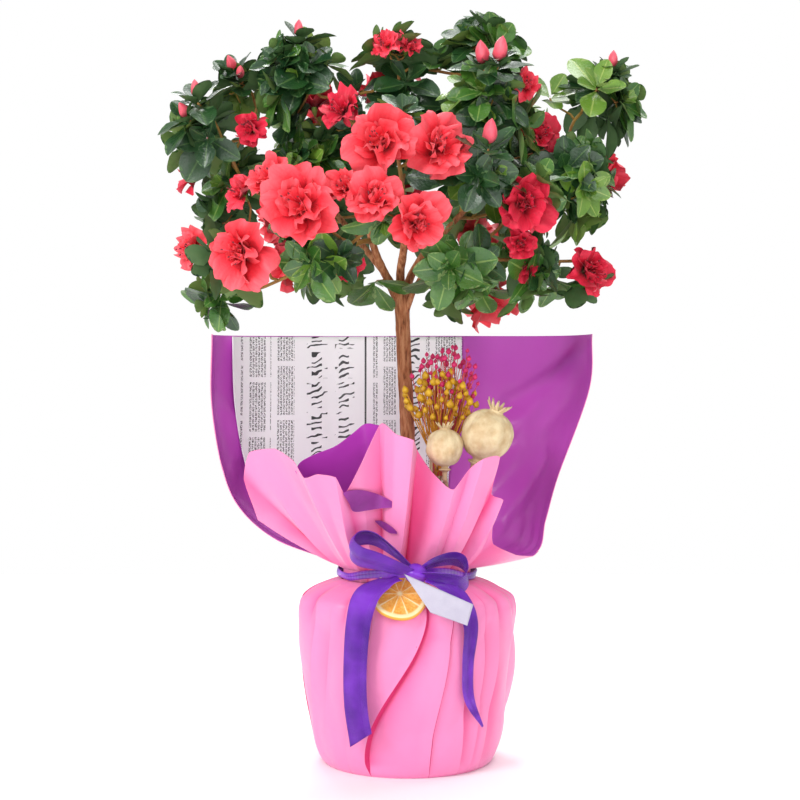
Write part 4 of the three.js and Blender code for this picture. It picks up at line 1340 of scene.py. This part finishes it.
posy = {
    "profile": [(0.12, -1.9), (0.13, -1.5), (0.17, -1.34), (0.30, -1.27), (0.31, -1.2), (0.18, -1.14),
                (0.22, -1.04), (0.52, -0.94), (0.80, -0.70), (0.97, -0.35), (1.0, 0.0), (0.95, 0.36),
                (0.78, 0.68), (0.52, 0.88), (0.30, 0.97), (0.27, 1.04)],
    "heads": [((27, -57, 238), 13.2, (0, 0), "small"), ((58, -50, 247), 18.2, (0.12, 0.38), "large")],
    "ribs": 11,
    "stems": 18,
    "bundle": [(18, -18, 152), (20, -22, 195), (24, -28, 236)],
    "yellow": {"middle": (25, -36, 272), "half": (29, 14, 24), "count": 64, "size": 2.5},
    "pink": {"middle": (30, -29, 290), "half": (27, 13, 26), "count": 66, "size": 1.9},
    "seed": 41,
}
straw = finish("dry_straw", mottled((226, 206, 166), (190, 154, 106), 130.0, 0.75), 0.75,
               noiseHeight(420.0, (1, 1, 0.4)), 0.0008)


def poppyHead(middle, radius, lean, dice):
    shape = Shape()
    sides = posy["ribs"] * 6
    outline = curve(upright(posy["profile"]), 54)
    turn = around(sides)
    ribs = 1 + 0.028 * np.cos(turn * posy["ribs"])[:, None] * ramp(outline[:, 2], -1.0, -0.2)[None, :]
    body = polar(outline[:, 0][None, :] * ribs, turn[:, None], outline[:, 2])
    body[..., :2] *= 1 + lumps(body, 1.6, 0.08, radius)[..., None]
    shape.add(body, closedFaces(sides, len(outline)))
    # crown of thin upturned points
    for i in range(posy["ribs"]):
        a = (i + dice.uniform(-0.2, 0.2)) * 2 * math.pi / posy["ribs"]
        out = compass(a)
        side = np.array([-math.sin(a), math.cos(a), 0])
        share, tall = evenly(6)[:, None], dice.uniform(0.24, 0.40)
        grid = []
        for w in evenly(5, -1):
            half = 0.085 * (1 - 0.75 * share ** 2) * w
            rise = 1.0 + tall * share ** 1.4 + 0.04 * w * w
            grid.append(out * (0.20 + 0.30 * share) + side * half + up * rise)
        shape.shell(np.array(grid), 0.03, (0, 0))
    forward, sidewards = lean
    c, s = math.cos(sidewards), math.sin(sidewards)
    turned = np.array([[c, 0, s], [0, 1, 0], [-s, 0, c]]) @ tipped(forward)
    shape.points = [np.array(middle) * mm + (part @ turned.T) * radius * mm for part in shape.points]
    return shape


def berrySpray(spray, dice, berries, stems):
    middle, half = np.array(spray["middle"]) * mm, np.array(spray["half"]) * mm
    foot = np.array(posy["bundle"][-1]) * mm
    tilt, turn = np.meshgrid(evenly(7, 0.15, math.pi - 0.1), around(9))
    ball = polar(np.sin(tilt), turn, -np.cos(tilt))
    ball[:, -1, 2] = 1.35
    faces = closedFaces(9, 7)
    for i in range(spray["count"]):
        height = 1 - 1.75 * (i + 0.5) / spray["count"]
        a = i * goldenTurn
        wide = math.sqrt(max(0.0, 1 - height * height))
        aim = np.array([wide * math.cos(a), wide * math.sin(a), height]) * dice.uniform(0.55, 1.0)
        place = middle + aim * half
        heading = unit(place - foot + np.array([0, 0, 30 * mm]))
        axes = square(heading, np.array([0, 1, 0.1]))
        size = spray["size"] * mm * dice.uniform(0.7, 1.2)
        turned = np.array([axes[0], axes[2], axes[1]])
        berries.add(place + (ball.reshape(-1, 3) * size) @ turned, faces)
        sway = np.array([dice.uniform(-3, 3), dice.uniform(-3, 3), 0]) * mm
        knee = mix(foot, place, 0.55) + np.array([0, 0, -8 * mm]) + sway
        root = foot + np.array([dice.uniform(-4, 4), dice.uniform(-4, 4), -20]) * mm
        line = curve([root, knee, place - heading * size * 0.9], 9)
        stems.tube(line, evenly(9, 0.5, 0.3) * mm, 5)


dice = random.Random(posy["seed"])
for middle, radius, lean, label in posy["heads"]:
    head = poppyHead(middle, radius, lean, dice)
    head.piece("poppy_head_" + label, [straw], "straw", ["poppy_" + label])
for tone, skin, deep in (("yellow", (222, 176, 30), (178, 120, 14)), ("pink", (226, 44, 112), (176, 20, 80))):
    berries, stems = Shape(), Shape()
    berrySpray(posy[tone], dice, berries, stems)
    berrySkin = finish("berry_" + tone, mottled(skin, deep, 260.0, 0.8), 0.5, noiseHeight(900.0), 0.0003)
    berries.piece("berries_" + tone, [berrySkin], tone + "_berry", ["berry_spray_" + tone])
    stemSkin = finish("berry_stem_" + tone, mottled(mix(skin, (214, 130, 60), 0.5), deep, 200.0, 0.5), 0.6)
    stems.piece("berry_stems_" + tone, [stemSkin], tone + "_berry")

bundle = Shape()
for i in range(posy["stems"]):
    a, reach = i * goldenTurn, math.sqrt((i + 0.5) / posy["stems"])
    sway = compass(a) * reach
    line = [np.array(p) + sway * size for p, size in zip(posy["bundle"], (3.5, 3.0, 7.0))]
    line[-1] = line[-1] + np.array([0, 0, dice.uniform(-6, 8)])
    bundle.tube(curve(np.array(line) * mm, 16), 0.75 * mm, 6)
for middle, radius, lean, label in posy["heads"]:
    down = np.array([-math.sin(lean[1]), 0, -math.cos(lean[1])])
    top = np.array(middle) + down * radius * 1.75
    line = [np.array([20, -21, 170]), mix((20, -21, 170), top, 0.6) + np.array([4, -4, 4]), top]
    bundle.tube(curve(np.array(line) * mm, 18), evenly(18, 1.3, 1.9) * mm, 9)
bundle.piece("stem_bundle", [straw], "straw", ["posy_stems"])

# Pot and compost keep their own shapes
plastic = finish("brown_plastic", mottled((138, 90, 68), (120, 76, 56), 50.0, 0.5), 0.55,
                 noiseHeight(500.0), 0.0003)
compost = finish("compost", mottled((62, 44, 32), (30, 22, 18), 160.0, 0.9), 0.95, noiseHeight(260.0), 0.003)
for node, material in (("pot", plastic), ("soil", compost)):
    mesh = bpy.data.objects[node].data
    mesh.materials.clear()
    mesh.materials.append(material)


# Stage

mesh = bpy.data.meshes.new("floor")
mesh.from_pydata([(-1.3, -1.4, 0), (1.3, -1.4, 0), (1.3, 1.2, 0), (-1.3, 1.2, 0)], [], [[0, 1, 2, 3]])
mesh.materials.append(finish("pale_floor", mottled((255, 255, 255), (252, 252, 252), 4.0, 1.0), 0.8))
placed("floor", mesh)

studio = {
    "fromAround": 0.62,   # how bright the pale surroundings light the plant
    "lamps": {            # place, aim, size and power
        "key": ((-1.1, -1.3, 1.3), (0, 0, 0.3), 0.8, 21),
        "front": ((0.25, -1.7, 0.55), (0, 0, 0.28), 1.3, 9),
        "top": ((0.5, 0.3, 1.8), (0, 0, 0.3), 0.9, 14),
        "behind": ((-0.4, 1.3, 1.7), (0, 0.3, 0.2), 0.7, 16),
    },
}
world = bpy.data.worlds.new("studio")
world.use_nodes = True
sky = world.node_tree
glow = sky.nodes["Background"]
glow.inputs["Color"].default_value = white
seen = put(sky, "ShaderNodeLightPath").outputs["Is Camera Ray"]
strength = put(sky, "ShaderNodeMapRange", {"Value": seen, "To Min": studio["fromAround"], "To Max": 1.0})
sky.links.new(strength.outputs[0], glow.inputs["Strength"])
bpy.context.scene.world = world


def areaLight(name, place, aim, size, power):
    data = bpy.data.lights.new(name, "AREA")
    data.size, data.energy = size, power
    lamp = placed(name, data)
    lamp.location = place
    lamp.rotation_euler = (Vector(aim) - Vector(place)).to_track_quat("-Z", "Y").to_euler()


for name, (place, aim, size, power) in studio["lamps"].items():
    areaLight(name, place, aim, size, power)

camera = {"distance": 1.15, "height": 0.272, "side": -0.0053, "lens": 68.1}
cameraData = bpy.data.cameras.new("camera")
cameraData.lens = camera["lens"]
cameraData.sensor_width = 36
cameraObject = placed("camera", cameraData)
cameraObject.location = (camera["side"], -camera["distance"], camera["height"])
cameraObject.rotation_euler = (math.radians(90), 0, 0)
bpy.context.scene.camera = cameraObject
bpy.context.scene.view_settings.view_transform = "Standard"
